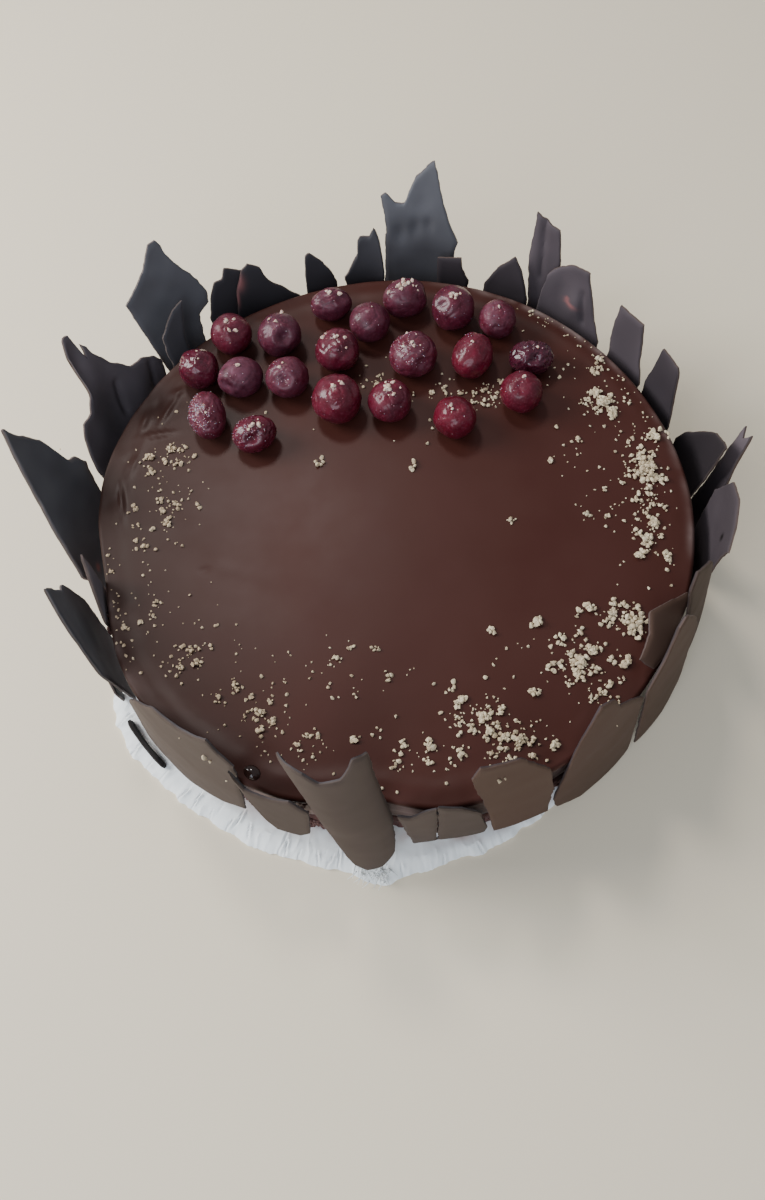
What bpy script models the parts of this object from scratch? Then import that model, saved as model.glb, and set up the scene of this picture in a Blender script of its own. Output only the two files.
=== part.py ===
# Black forest cake on its crinkled paper, with cherries, chopped nuts and a fence of chocolate shards.
# Metres, +Z up. The origin is the middle of the paper's underside, and -Y is the front.
import math
import random

import bmesh
import bpy
import numpy as np

MM = 0.001

# Driving dimensions, in millimetres
RIM_RADIUS = 120.0          # outer radius of the glaze
CAKE_TOP = 55.0             # height of the glaze's flat top above the paper's underside
GLAZE_THICK = 5.0
SPONGE_TOP = 19.7
PAPER_THICK = 1.3
GAP = 0.3                   # left between pieces that touch
SHARD_THICK = 1.6
CHERRY_SEGMENTS = 11
CHERRY_RINGS = 7
SHARD_ROWS = 3
SHARD_COLUMNS = 5           # least number of columns
NUT_SUBDIVISIONS = 1
DISC_SEGMENTS = 44
PAPER_SEGMENTS = 56
GLAZE_SEGMENTS = 64

# Places where the side is pressed in: azimuth, depth in mm, half width in degrees
RIM_DENTS = ((277.0, 5.5, 15.0), (350.0, 5.5, 9.0))

# Azimuth 0 is the front, 90 the right. The paper's edge: azimuth, radius in mm
PAPER_EDGE = (
    (0, 132), (12, 129), (22, 125), (35, 121), (60, 118), (90, 116), (130, 116), (180, 116),
    (230, 117), (260, 122), (285, 132), (297, 139), (310, 136), (330, 134), (345, 134), (353, 137),
)

# Cherries on the glaze: x, y, width across, width front to back, height, turn in degrees
CHERRIES = (
    (-56.5, 92.0, 18.0, 17.5, 17.0, 0), (-35.8, 88.4, 19.0, 18.5, 17.5, 20),
    (-71.0, 76.0, 17.0, 17.0, 16.5, 0), (-53.8, 69.0, 19.0, 16.8, 16.0, 10),
    (-34.0, 65.5, 18.0, 17.6, 17.0, 40), (-68.5, 51.5, 15.4, 21.0, 16.0, 5),
    (-49.5, 40.0, 18.6, 14.6, 14.5, 12), (-11.9, 76.0, 19.0, 18.4, 17.5, 0),
    (-12.2, 102.4, 18.2, 14.0, 14.5, 0), (3.5, 89.2, 17.6, 17.0, 16.5, 0),
    (20.0, 99.8, 19.6, 15.6, 16.5, 0), (39.6, 90.6, 18.6, 19.0, 18.0, 0),
    (19.6, 68.6, 20.4, 19.6, 18.0, 15), (57.6, 82.4, 16.0, 16.4, 16.0, 0),
    (44.2, 64.8, 17.0, 20.4, 17.0, -35), (61.0, 43.6, 17.4, 17.2, 16.5, 0),
    (68.0, 60.6, 18.6, 14.4, 14.5, -10), (32.3, 35.0, 17.4, 17.6, 17.0, 0),
    (7.2, 47.0, 18.0, 17.8, 17.0, 25), (-14.5, 51.0, 20.6, 20.8, 18.5, 0),
)

# Patches of chopped nuts: x, y, spread along x, spread along y, how many, largest size in mm
NUT_PATCHES = (
    (-88, 38, 8, 7, 7, 4.2), (-85, 14, 5, 9, 5, 4.0), (-100, 10, 6, 16, 4, 3.2), (-81, -54, 6, 6, 5, 4.0),
    (-64, -67, 6, 4, 3, 3.6), (-55, -78, 6, 4, 4, 4.0), (-40, -92, 12, 5, 4, 3.4), (-96, -30, 8, 14, 4, 3.0),
    (22, -88, 7, 6, 9, 4.4), (34, -98, 9, 5, 7, 4.4), (0, -100, 9, 5, 4, 4.0), (62, -70, 9, 8, 11, 5.0),
    (82, -58, 5, 5, 6, 5.6), (70, -84, 8, 6, 4, 3.6), (104, 5, 5, 9, 10, 5.0), (101, -18, 5, 9, 7, 4.2),
    (95, 37, 5, 8, 7, 4.4), (96, 56, 3, 3, 2, 5.0), (34, 56, 9, 5, 4, 3.8), (50, 50, 7, 6, 6, 4.2),
    (5, 62, 5, 3, 3, 3.6), (84, -8, 9, 14, 4, 2.8), (75, 20, 12, 12, 3, 2.8), (-30, -62, 20, 8, 3, 2.8),
)
# Single larger nut pieces: x, y, size in mm
SINGLE_NUTS = (
    (13, 20, 4.4), (-25, 27, 4.6), (48, -11, 3.2), (33, -56, 3.2), (-7, -70, 3.4), (113.0, 19, 7.0),
)

# Chocolate shards, listed from the front anticlockwise as seen from above. Each stands at an azimuth, with
# its foot at a radius and a lift. It leans outward by lean degrees, tilts along the rim by tilt and turns by
# yaw, and bends round an upright axis with radius curl. Its outline is lines of points (along the rim, up) in
# mm: the lower edge, the upper edge, and the left and right side from bottom to top where not straight.
HUG = 121.0                 # bend radius of a shard that follows the rim
SHARDS = {
    "shard_01_roll": dict(
        at=349, foot=132.5, lean=-8, tilt=-5, curl=18.0,
        lower=((-3, 27), (-0.5, 2), (8, 7), (14, 18)),
        left=((-3, 27), (-4, 61), (-10, 87), (-18, 100)),
        right=((14, 18), (17, 48), (16, 106)),
        upper=((-18, 100), (-10, 103), (-6, 102), (-2, 97), (6, 99), (11, 109), (16, 106))),
    "shard_02": dict(
        at=359.5, foot=123.6, lean=-1, curl=HUG,
        lower=((-5, 17), (4, 19)),
        upper=((-9, 66), (-5, 62), (1, 70), (4, 71))),
    "shard_03": dict(
        at=5, foot=123.8, lean=-1, curl=HUG,
        lower=((-7.4, 20), (11, 15)),
        upper=((-7.4, 75), (1, 67), (8, 50), (11.5, 22))),
    "shard_04": dict(
        at=15, foot=127.5, lean=-7, curl=HUG,
        lower=((-8, 20), (15, 14)),
        upper=((-16, 82), (-13, 90), (1, 86), (13, 63), (16, 38)),
        left=((-8, 20), (-10.5, 46), (-16, 82))),
    "shard_05": dict(
        at=34, foot=126.9, lean=-6.5, curl=HUG,
        lower=((-22, 10), (-10, 1), (19, 1)),
        upper=((-24, 22), (-19, 50), (-15, 70), (-8, 92), (-2, 88), (2, 77), (10, 68), (19, 54))),
    "shard_06": dict(
        at=52, foot=130, lean=-7, yaw=6, curl=HUG,
        lower=((-19, 4), (0, 0), (14, 8)),
        upper=((-19, 58), (-12, 73), (-8, 92), (-4, 95), (7, 76), (14, 58))),
    "shard_07_flap": dict(
        at=56, foot=118.6, lean=-52, lift=57.4, curl=400.0,
        lower=((-17, 2), (-9, -0.5), (11, -0.5), (15, 0)),
        upper=((-18, 9), (-8, 10), (-1, 14), (2, 12.5), (8, 8), (17, 1.5))),
    "shard_08": dict(
        at=66, foot=132.2, lean=-8.5, yaw=11, curl=HUG,
        lower=((-8, 0), (9, 1)),
        right=((9, 1), (14, 16), (8, 48), (7, 62)),
        upper=((-18, 80), (-15, 90), (0, 74), (7, 62))),
    "shard_09": dict(
        at=76, foot=125.4, lean=2, curl=HUG,
        lower=((-11, 0), (15, 0)),
        left=((-11, 0), (-11, 62), (-14, 71)),
        upper=((-14, 71), (-7, 77.5), (3, 81), (12, 77), (19, 60))),
    "shard_10_spike": dict(
        at=89, foot=125.6, lean=12, curl=HUG,
        lower=((-5, 5), (6, 5)),
        left=((-5, 5), (-9, 32), (-4, 46)),
        upper=((-4, 46), (1, 60), (4, 75), (6.5, 69), (10, 73)),
        right=((6, 5), (7, 38), (9, 58), (10, 73))),
    "shard_11_cup": dict(
        at=97, foot=123.4, lean=8, curl=45.0,
        lower=((-12, 0), (9, 0)),
        left=((-12, 0), (-17.5, 50), (-17, 71)),
        upper=((-17, 71), (-6, 65), (0, 58), (8, 47), (10, 40))),
    "shard_12": dict(
        at=108.5, foot=122.5, lean=4, curl=HUG,
        lower=((-11, 0), (8, 0)),
        upper=((-11.3, 44), (-5, 66), (-3.5, 72), (8, 72), (8.7, 61), (10, 50))),
    "shard_13": dict(
        at=119.3, foot=122.5, lean=4, curl=HUG,
        lower=((-10, 0), (8.5, 0)),
        upper=((-11, 46), (-7, 57), (-5, 66), (-3, 73), (10, 73)),
        right=((8.5, 0), (9, 48), (10.5, 62), (10, 73))),
    "shard_14": dict(
        at=134.5, foot=122.5, lean=5, curl=HUG,
        lower=((-16, 0), (14, 0)),
        upper=((-18, 46), (-12, 57), (-9, 66), (-5, 77), (2, 77), (8, 73), (13, 67), (15, 50))),
    "shard_15_tall": dict(
        at=141, foot=126.2, lean=5, curl=60.0,
        lower=((-3, 0), (6, 0)),
        upper=((-5, 68), (-2, 86), (4, 88), (9, 91)),
        right=((6, 0), (7, 46), (10, 70), (9, 91))),
    "shard_16": dict(
        at=149, foot=122.5, lean=4, curl=HUG,
        lower=((-11, 0), (9, 0)),
        upper=((-12, 49), (-8, 62), (-4, 70), (3, 62), (9, 51))),
    "shard_17": dict(
        at=160, foot=122.3, lean=4, curl=HUG,
        lower=((-7, 0), (6, 0)),
        upper=((-8, 50), (-5, 56), (-4.5, 62), (6.5, 61))),
    "shard_18_back": dict(
        at=166, foot=124.8, lean=9, curl=HUG,
        lower=((-12, 0), (17, 0)),
        upper=((-15, 63), (-11, 72), (-7, 87), (-4, 101), (4, 93), (6, 88), (9, 81), (13, 81), (17, 86),
               (19, 84)),
        left=((-12, 0), (-13, 52), (-15, 63)),
        right=((17, 0), (18, 42), (17, 70), (19, 84))),
    "shard_19_curl": dict(
        at=178, foot=123.4, lean=4, curl=25.0,
        lower=((-8, 0), (8, 0)),
        upper=((-9, 45), (-8.5, 64), (-7, 72), (-6, 76), (-4, 71), (1.4, 71), (2.6, 62), (5, 57), (9, 51))),
    "shard_20": dict(
        at=187, foot=122.5, lean=4, curl=HUG,
        lower=((-6, 0), (7, 0)),
        upper=((-7, 49), (-5, 55), (-2, 61), (4, 68), (6, 66), (7.5, 47))),
    "shard_21": dict(
        at=202, foot=122.4, lean=5, curl=HUG,
        lower=((-21, 0), (6, 0)),
        upper=((-23, 44), (-17, 51), (-9, 60), (-7, 68), (-2, 72), (1, 70), (6, 60), (8, 46))),
    "shard_22": dict(
        at=202, foot=124.9, lean=5, curl=HUG,
        lower=((-1, 0), (17, 0)),
        upper=((-3, 66), (2, 69), (8, 73), (10, 68), (14, 68), (17, 62), (20.5, 52))),
    "shard_23_kite": dict(
        at=219, foot=125.0, lean=8, curl=HUG,
        lower=((-8, 0), (4, 0)),
        upper=((-22, 64), (-20, 71), (-16, 79), (-12, 89), (-10, 98), (-6, 98), (1, 89), (14, 81)),
        left=((-8, 0), (-14, 47), (-15, 55), (-21, 58), (-22, 64)),
        right=((4, 0), (11, 52), (14, 81))),
    "shard_24_sliver": dict(
        at=222, foot=122.2, lean=3, curl=HUG,
        lower=((-8, 30), (2, 30)),
        upper=((-13, 75), (-7, 73), (2, 64)),
        left=((-8, 30), (-8, 58), (-13, 75)),
        right=((2, 30), (3, 57), (2, 64))),
    "shard_25_hook": dict(
        at=240, foot=124.3, lean=6, curl=HUG,
        lower=((-28, 0), (18, 0)),
        upper=((-36, 50), (-33, 55), (-28, 59), (-21, 61), (-14, 71), (-10, 80), (-7, 90), (-6, 82), (-4, 97),
               (-1, 98), (1.5, 90), (1.6, 78), (2.2, 68), (7, 62), (13, 63), (17, 58), (20, 50), (22, 41))),
    "shard_26_left": dict(
        at=265, foot=126.6, lean=9, curl=HUG, thick=1.9,
        lower=((-28, 4), (6, 4)),
        left=((-28, 4), (-33, 34), (-37, 45)),
        upper=((-37, 45), (-35, 52), (-31, 56), (-30, 65), (-28, 76), (-21, 90), (-19, 97), (-4, 63),
               (10, 28))),
    "shard_27_strip": dict(
        at=281, foot=117.5, lean=-1, yaw=5, curl=HUG,
        lower=((-8, 30), (10, 30)),
        upper=((-8, 76), (10, 52))),
    "shard_28": dict(
        at=290, foot=124.4, lean=2, curl=HUG,
        lower=((-20, 8), (6, 6)),
        upper=((-27, 43), (-25, 58), (-23, 68), (-19, 69), (-17, 75), (-12, 87), (-5, 79), (1, 71), (7, 62),
               (12, 53))),
    "shard_29_chip": dict(
        at=290, foot=129.5, lean=0, curl=HUG,
        lower=((-1, 0.5), (3, 3)),
        upper=((-5, 22), (5, 17))),
    "shard_30_long": dict(
        at=315, foot=127.4, lean=-6.2, curl=HUG,
        lower=((-33, 8), (-14, 14), (-3, 14), (16, 22), (27, 30)),
        upper=((-36, 36), (-28, 52), (-18, 70), (-3, 87), (9, 88), (16, 91), (21, 95), (24, 87), (29, 80))),
    "shard_31_fallen": dict(
        at=301, foot=130.6, lean=0, yaw=-3, curl=HUG,
        lower=((-13, 0.4), (13, 0.4)),
        upper=((-13, 4), (-10, 5.5), (9, 5.5), (13, 4))),
    "shard_32": dict(
        at=333, foot=130.4, lean=-7, curl=HUG,
        lower=((-4, 48), (0, 37), (3, 31), (12, 32), (16, 38)),
        upper=((-10, 78), (-8, 72), (-6, 66), (-2, 65), (4, 65), (11, 69), (17, 61))),
}


def clear_scene():
    for item in list(bpy.data.objects):
        bpy.data.objects.remove(item, do_unlink=True)


def make_material(name, colour, roughness):
    material = bpy.data.materials.new(name)
    material.use_nodes = True
    shader = material.node_tree.nodes["Principled BSDF"]
    shader.inputs["Base Color"].default_value = (*colour, 1.0)
    shader.inputs["Roughness"].default_value = roughness
    shader.inputs["Metallic"].default_value = 0.0
    return material


def add_object(name, points_mm, faces, material, smooth_angle=40.0):
    mesh = bpy.data.meshes.new(name)
    mesh.from_pydata([tuple(point) for point in np.asarray(points_mm) * MM], [], faces)
    work = bmesh.new()
    work.from_mesh(mesh)
    bmesh.ops.recalc_face_normals(work, faces=work.faces)
    work.to_mesh(mesh)
    work.free()
    mesh.shade_smooth()
    mesh.set_sharp_from_angle(angle=math.radians(smooth_angle))
    mesh.materials.append(material)
    item = bpy.data.objects.new(name, mesh)
    bpy.context.scene.collection.objects.link(item)
    return item


def direction(azimuth):
    """Unit vector outward at an azimuth in degrees, in the XY plane."""
    angle = np.radians(azimuth)
    return np.sin(angle), -np.cos(angle)


def rim_radius(azimuth):
    """The cake isn't a true circle: two slow waves and the pressed-in places."""
    angle = np.radians(azimuth)
    radius = RIM_RADIUS - 0.25 + 0.25 * np.sin(5 * angle + 0.7)
    for centre, depth, half_width in RIM_DENTS:
        away = (azimuth - centre + 180.0) % 360.0 - 180.0
        radius = radius - depth * np.exp(-(away / half_width) ** 2)
    return radius


def glaze_height(x, y):
    """Height of the glaze: flat, with a low uneven lip near the rim and slow waves."""
    azimuth = np.degrees(np.arctan2(x, -y)) % 360.0
    inward = rim_radius(azimuth) - np.hypot(x, y)
    lip = 0.5 * np.exp(-((inward - 7.0) / 3.5) ** 2) * (0.5 + 0.5 * np.sin(np.radians(azimuth * 2 + 150)))
    wave = 0.12 * np.sin(x / 19.0 + 1.0) * np.cos(y / 23.0)
    return CAKE_TOP + lip + wave


def disc_solid(name, rings, segments, material):
    """A closed solid turned about Z. Each ring is a function of azimuth that gives radius and height."""
    azimuth = np.arange(segments) * 360.0 / segments
    out_x, out_y = direction(azimuth)
    points = []
    for ring in rings:
        radius, height = ring(azimuth)
        radius = np.broadcast_to(radius, azimuth.shape)
        height = np.broadcast_to(height, azimuth.shape)
        points.append(np.stack([radius * out_x, radius * out_y, height], axis=1))
    grid = np.concatenate(points)
    first = grid[:segments].mean(axis=0)
    last = grid[-segments:].mean(axis=0)
    grid = np.vstack([grid, first, last])
    faces = []
    for ring in range(len(rings) - 1):
        for step in range(segments):
            here = ring * segments + step
            following = ring * segments + (step + 1) % segments
            faces.append((here, following, following + segments, here + segments))
    bottom_start = (len(rings) - 1) * segments
    for step in range(segments):
        following = (step + 1) % segments
        faces.append((following, step, len(grid) - 2))
        faces.append((bottom_start + step, bottom_start + following, len(grid) - 1))
    return add_object(name, grid, faces, material)


def make_paper(material):
    edge_azimuth = [azimuth for azimuth, radius in PAPER_EDGE]
    edge_radius = [radius for azimuth, radius in PAPER_EDGE]

    def outline(azimuth):
        radius = np.interp(azimuth, edge_azimuth, edge_radius, period=360)
        return radius + 0.8 * np.sin(np.radians(azimuth) * 37)

    def crinkle(azimuth):
        return PAPER_THICK - 0.3 + 0.3 * np.sin(np.radians(azimuth) * 31)

    rings = [
        lambda azimuth: (100.0, PAPER_THICK),
        lambda azimuth: (112.0, PAPER_THICK),
        lambda azimuth: (outline(azimuth) - 1.5, crinkle(azimuth)),
        lambda azimuth: (outline(azimuth), 0.5),
        lambda azimuth: (outline(azimuth) - 1.0, 0.0),
    ]
    disc_solid("paper_liner", rings, PAPER_SEGMENTS, material)


def make_sponge(material):
    def at_height(depth, wave, height):
        def ring(azimuth):
            angle = np.radians(azimuth)
            crumbly = 0.4 * np.sin(13 * angle + wave) * np.sin(7 * angle) - 0.5
            return rim_radius(azimuth) - depth + crumbly, height
        return ring

    floor = PAPER_THICK + GAP
    rings = [
        at_height(1.6, 0.0, SPONGE_TOP),
        at_height(0.9, 1.0, SPONGE_TOP - 1.2),
        at_height(1.2, 2.5, SPONGE_TOP - 7.0),
        at_height(0.8, 4.0, floor + 4.0),
        at_height(2.0, 5.5, floor),
    ]
    disc_solid("sponge_base", rings, DISC_SEGMENTS, material)


def make_mousse(material):
    floor = SPONGE_TOP + GAP
    top = CAKE_TOP - GLAZE_THICK - GAP
    rings = [
        lambda azimuth: (rim_radius(azimuth) - 2.2, top),
        lambda azimuth: (rim_radius(azimuth) - 1.2, top - 1.5),
        lambda azimuth: (rim_radius(azimuth) - 0.9, 0.5 * (top + floor)),
        lambda azimuth: (rim_radius(azimuth) - 1.0, floor + 2.0),
        lambda azimuth: (rim_radius(azimuth) - 1.8, floor),
    ]
    disc_solid("mousse", rings, DISC_SEGMENTS, material)


def place_nuts():
    """Nut pieces, largest first in each patch, kept clear of the cherries and of each other."""
    chance = random.Random(11)
    placed = []

    def is_clear(x, y, size):
        for cherry_x, cherry_y, wide, deep, high, turn in CHERRIES:
            if math.hypot(x - cherry_x, y - cherry_y) < 0.5 * max(wide, deep) + 0.55 * size + 0.5:
                return False
        for other_x, other_y, other_size in placed:
            if math.hypot(x - other_x, y - other_y) < 0.62 * (size + other_size) + 0.3:
                return False
        azimuth = math.degrees(math.atan2(x, -y)) % 360.0
        return math.hypot(x, y) < rim_radius(azimuth) - 0.55 * size - 2.2

    for x, y, size in SINGLE_NUTS:
        placed.append((x, y, size))
    for centre_x, centre_y, spread_x, spread_y, count, largest in NUT_PATCHES:
        for index in range(count):
            size = largest * (1.0 - 0.5 * index / count)
            for attempt in range(40):
                x = centre_x + chance.gauss(0.0, spread_x * 0.6)
                y = centre_y + chance.gauss(0.0, spread_y * 0.6)
                if is_clear(x, y, size):
                    placed.append((x, y, size))
                    break
    return placed


def make_nut(name, x, y, size, chance, material):
    """A small irregular lump: a stretched icosahedron half sunk in the glaze."""
    work = bmesh.new()
    bmesh.ops.create_icosphere(work, subdivisions=NUT_SUBDIVISIONS, radius=0.5 * size * MM)
    stretch = (chance.uniform(0.8, 1.2), chance.uniform(0.8, 1.2), chance.uniform(0.6, 0.85))
    turn = chance.uniform(0.0, math.pi)
    height = float(glaze_height(x, y)) + 0.18 * size
    for vertex in work.verts:
        lump = chance.uniform(0.85, 1.12)
        along = vertex.co.x * stretch[0] * lump
        across = vertex.co.y * stretch[1] * lump
        vertex.co.z = vertex.co.z * stretch[2] * lump + height * MM
        vertex.co.x = along * math.cos(turn) - across * math.sin(turn) + x * MM
        vertex.co.y = along * math.sin(turn) + across * math.cos(turn) + y * MM
    mesh = bpy.data.meshes.new(name)
    work.to_mesh(mesh)
    work.free()
    mesh.materials.append(material)
    return bpy.data.objects.new(name, mesh)


def make_glaze(material):
    """The top coat, with the chopped nuts fused on by one Boolean union."""
    floor = CAKE_TOP - GLAZE_THICK

    def top_ring(inward):
        def ring(azimuth):
            radius = rim_radius(azimuth) - inward
            out_x, out_y = direction(azimuth)
            return radius, glaze_height(radius * out_x, radius * out_y)
        return ring

    rings = [top_ring(inward) for inward in (85.0, 35.0, 12.0, 7.0, 3.5)]
    rings += [
        lambda azimuth: (rim_radius(azimuth) - 1.3, CAKE_TOP - 0.5),
        lambda azimuth: (rim_radius(azimuth) - 0.2, CAKE_TOP - 1.8),
        lambda azimuth: (rim_radius(azimuth), CAKE_TOP - 3.2),
        lambda azimuth: (rim_radius(azimuth) - 0.6, floor + 0.3),
        lambda azimuth: (rim_radius(azimuth) - 1.4, floor),
    ]
    glaze = disc_solid("glaze_top", rings, GLAZE_SEGMENTS, material)
    nuts = bpy.data.collections.new("nuts")
    bpy.context.scene.collection.children.link(nuts)
    chance = random.Random(5)
    for index, (x, y, size) in enumerate(place_nuts()):
        nuts.objects.link(make_nut("nut_%03d" % index, x, y, size, chance, material))
    join = glaze.modifiers.new("nuts", "BOOLEAN")
    join.operation = "UNION"
    join.operand_type = "COLLECTION"
    join.collection = nuts
    join.solver = "EXACT"
    bpy.context.view_layer.update()
    evaluated = glaze.evaluated_get(bpy.context.evaluated_depsgraph_get())
    joined = bpy.data.meshes.new_from_object(evaluated)
    glaze.modifiers.clear()
    glaze.data = joined
    for nut in list(nuts.objects):
        bpy.data.objects.remove(nut, do_unlink=True)
    bpy.data.collections.remove(nuts)


def make_cherry(name, cherry, index, material):
    """A soft round cherry: an ellipsoid with a few slow dents and a flat spot below."""
    x, y, wide, deep, high, turn = cherry
    base = float(glaze_height(x, y)) + GAP + 0.06
    polar = np.linspace(0.0, np.pi, CHERRY_RINGS + 1)[1:-1]
    around = np.arange(CHERRY_SEGMENTS) * 2 * np.pi / CHERRY_SEGMENTS
    theta, phi = np.meshgrid(polar, around, indexing="ij")
    dent = 1.0 + 0.035 * np.sin(3 * phi + index) * np.sin(2 * theta + 0.6 * index)
    local_x = 0.5 * wide * np.sin(theta) * np.cos(phi) * dent
    local_y = 0.5 * deep * np.sin(theta) * np.sin(phi) * dent
    local_z = np.maximum(0.5 * high * np.cos(theta) * dent, -0.44 * high)
    angle = math.radians(turn)
    world_x = x + local_x * math.cos(angle) - local_y * math.sin(angle)
    world_y = y + local_x * math.sin(angle) + local_y * math.cos(angle)
    centre_z = base + 0.44 * high
    grid = np.stack([world_x.ravel(), world_y.ravel(), centre_z + local_z.ravel()], axis=1)
    poles = np.array([[x, y, centre_z + 0.46 * high], [x, y, base]])
    grid = np.vstack([grid, poles])
    top = len(grid) - 2
    bottom = len(grid) - 1
    faces = []
    for ring in range(len(polar) - 1):
        for step in range(CHERRY_SEGMENTS):
            here = ring * CHERRY_SEGMENTS + step
            following = ring * CHERRY_SEGMENTS + (step + 1) % CHERRY_SEGMENTS
            faces.append((here, following, following + CHERRY_SEGMENTS, here + CHERRY_SEGMENTS))
    last_ring = (len(polar) - 1) * CHERRY_SEGMENTS
    for step in range(CHERRY_SEGMENTS):
        following = (step + 1) % CHERRY_SEGMENTS
        faces.append((following, step, top))
        faces.append((last_ring + step, last_ring + following, bottom))
    add_object(name, grid, faces, material, 60.0)


def edge_line(points, run, climb):
    """The corners' shares of the way along a line, and a function that gives the point at any share.

    The way is run times the sideways travel plus climb times the rise.
    """
    corners = np.array(points, dtype=float)
    steps = run * np.abs(np.diff(corners[:, 0])) + climb * np.abs(np.diff(corners[:, 1]))
    travel = np.concatenate([[0.0], np.cumsum(steps)])
    travel = travel / travel[-1]
    return travel, lambda share: np.stack([np.interp(share, travel, corners[:, 0]),
                                           np.interp(share, travel, corners[:, 1])], axis=1)


def shard_surface(along, up, shard):
    """Middle surface of a shard: bent, tilted, leaned and turned, then set on the cake's side. All in mm."""
    bend = 1.0 / shard["curl"]
    side = np.sin(bend * along) / bend
    out = (np.cos(bend * along) - 1.0) / bend
    tilt = math.radians(shard.get("tilt", 0.0))
    side, rise = side * math.cos(tilt) + up * math.sin(tilt), up * math.cos(tilt) - side * math.sin(tilt)
    lean = math.radians(shard["lean"])
    out, rise = out * math.cos(lean) + rise * math.sin(lean), rise * math.cos(lean) - out * math.sin(lean)
    yaw = math.radians(shard.get("yaw", 0.0))
    side, out = side * math.cos(yaw) - out * math.sin(yaw), side * math.sin(yaw) + out * math.cos(yaw)
    out_x, out_y = direction(shard["at"])
    radius = shard["foot"] + out
    return np.stack([radius * out_x - side * out_y, radius * out_y + side * out_x,
                     rise + shard.get("lift", PAPER_THICK + GAP)], axis=-1)


def merged_shares(*lists):
    """All the shares in order, without those closer than 0.03 to the one before."""
    shares = np.unique(np.concatenate(lists))
    shares = shares[np.concatenate([[True], np.diff(shares) > 0.03])]
    shares[-1] = 1.0
    return shares


def shard_outline(shard):
    """The sheet's flat points (along, up), filled in between its four edges.

    Each point is the way across from the lower to the upper edge plus that from the left to the right side,
    less the blend of the four corners.
    """
    lower, upper = shard["lower"], shard["upper"]
    left = shard.get("left", (lower[0], upper[0]))
    right = shard.get("right", (lower[-1], upper[-1]))
    lower_travel, lower_at = edge_line(lower, 1.0, 0.3)
    upper_travel, upper_at = edge_line(upper, 1.0, 0.3)
    left_travel, left_at = edge_line(left, 0.3, 1.0)
    right_travel, right_at = edge_line(right, 0.3, 1.0)
    share = merged_shares(lower_travel, upper_travel, np.linspace(0.0, 1.0, SHARD_COLUMNS))
    climb = merged_shares(left_travel, right_travel, np.linspace(0.0, 1.0, SHARD_ROWS))
    s = share[None, :, None]
    t = climb[:, None, None]
    across = (1.0 - t) * lower_at(share)[None] + t * upper_at(share)[None]
    along = (1.0 - s) * left_at(climb)[:, None] + s * right_at(climb)[:, None]
    bottom = (1.0 - s) * np.array(lower[0]) + s * np.array(lower[-1])
    top = (1.0 - s) * np.array(upper[0]) + s * np.array(upper[-1])
    return across + along - (1.0 - t) * bottom - t * top


def make_shard(name, shard, material):
    """A closed thin sheet: the outline's points on the shard's surface, half the thickness to each side."""
    flat = shard_outline(shard)
    rows, columns = flat.shape[:2]
    along = flat[..., 0]
    up = flat[..., 1]
    middle = shard_surface(along, up, shard)
    step = 0.01
    sideways = shard_surface(along + step, up, shard) - middle
    upward = shard_surface(along, up + step, shard) - middle
    normal = np.cross(sideways, upward)
    normal = normal / np.linalg.norm(normal, axis=-1, keepdims=True)
    half = 0.5 * shard.get("thick", SHARD_THICK)
    front = (middle + half * normal).reshape(-1, 3)
    back = (middle - half * normal).reshape(-1, 3)
    count = rows * columns
    faces = []
    for row in range(rows - 1):
        for column in range(columns - 1):
            a = row * columns + column
            quad = (a, a + 1, a + 1 + columns, a + columns)
            faces.append(quad)
            faces.append(tuple(count + corner for corner in reversed(quad)))
    border = list(range(columns))
    border += [row * columns + columns - 1 for row in range(1, rows)]
    border += [(rows - 1) * columns + column for column in range(columns - 2, -1, -1)]
    border += [row * columns for row in range(rows - 2, 0, -1)]
    for here, following in zip(border, border[1:] + border[:1]):
        faces.append((following, here, here + count, following + count))
    add_object(name, np.vstack([front, back]), faces, material, 30.0)


def build():
    clear_scene()
    make_paper(make_material("white_paper", (0.72, 0.72, 0.70), 0.8))
    make_sponge(make_material("cherry_soaked_sponge", (0.10, 0.035, 0.03), 0.9))
    make_mousse(make_material("chocolate_mousse", (0.20, 0.13, 0.11), 0.7))
    make_glaze(make_material("chocolate_glaze", (0.055, 0.025, 0.02), 0.35))
    cherry_skin = make_material("cherry_skin", (0.16, 0.012, 0.025), 0.3)
    for index, cherry in enumerate(CHERRIES):
        make_cherry("cherry_%02d" % (index + 1), cherry, index, cherry_skin)
    dark_chocolate = make_material("dark_chocolate", (0.04, 0.028, 0.025), 0.45)
    for name, shard in SHARDS.items():
        make_shard(name, shard, dark_chocolate)


build()
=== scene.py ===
import math
import random

import bmesh
import bpy
import numpy as np
from mathutils import Matrix, Vector


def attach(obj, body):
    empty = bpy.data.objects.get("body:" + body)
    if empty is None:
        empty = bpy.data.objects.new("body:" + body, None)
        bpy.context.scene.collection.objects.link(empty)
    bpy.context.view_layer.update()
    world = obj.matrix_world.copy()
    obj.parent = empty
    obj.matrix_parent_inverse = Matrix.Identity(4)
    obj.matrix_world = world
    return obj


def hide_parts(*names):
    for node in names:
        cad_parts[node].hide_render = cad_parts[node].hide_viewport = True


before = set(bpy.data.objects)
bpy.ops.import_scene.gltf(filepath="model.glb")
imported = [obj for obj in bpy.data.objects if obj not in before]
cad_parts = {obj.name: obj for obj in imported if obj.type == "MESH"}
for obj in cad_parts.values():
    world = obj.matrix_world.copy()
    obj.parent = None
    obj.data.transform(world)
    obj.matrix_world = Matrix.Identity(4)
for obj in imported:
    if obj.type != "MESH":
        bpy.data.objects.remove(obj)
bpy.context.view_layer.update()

# Black forest cake: lengths are in mm, turned to metres when a mesh is made.
# Azimuth 0 is the front (-Y), 90 the right side (+X).
mm = 0.001
print("frame loaded:", len(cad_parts), "solids")

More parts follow.
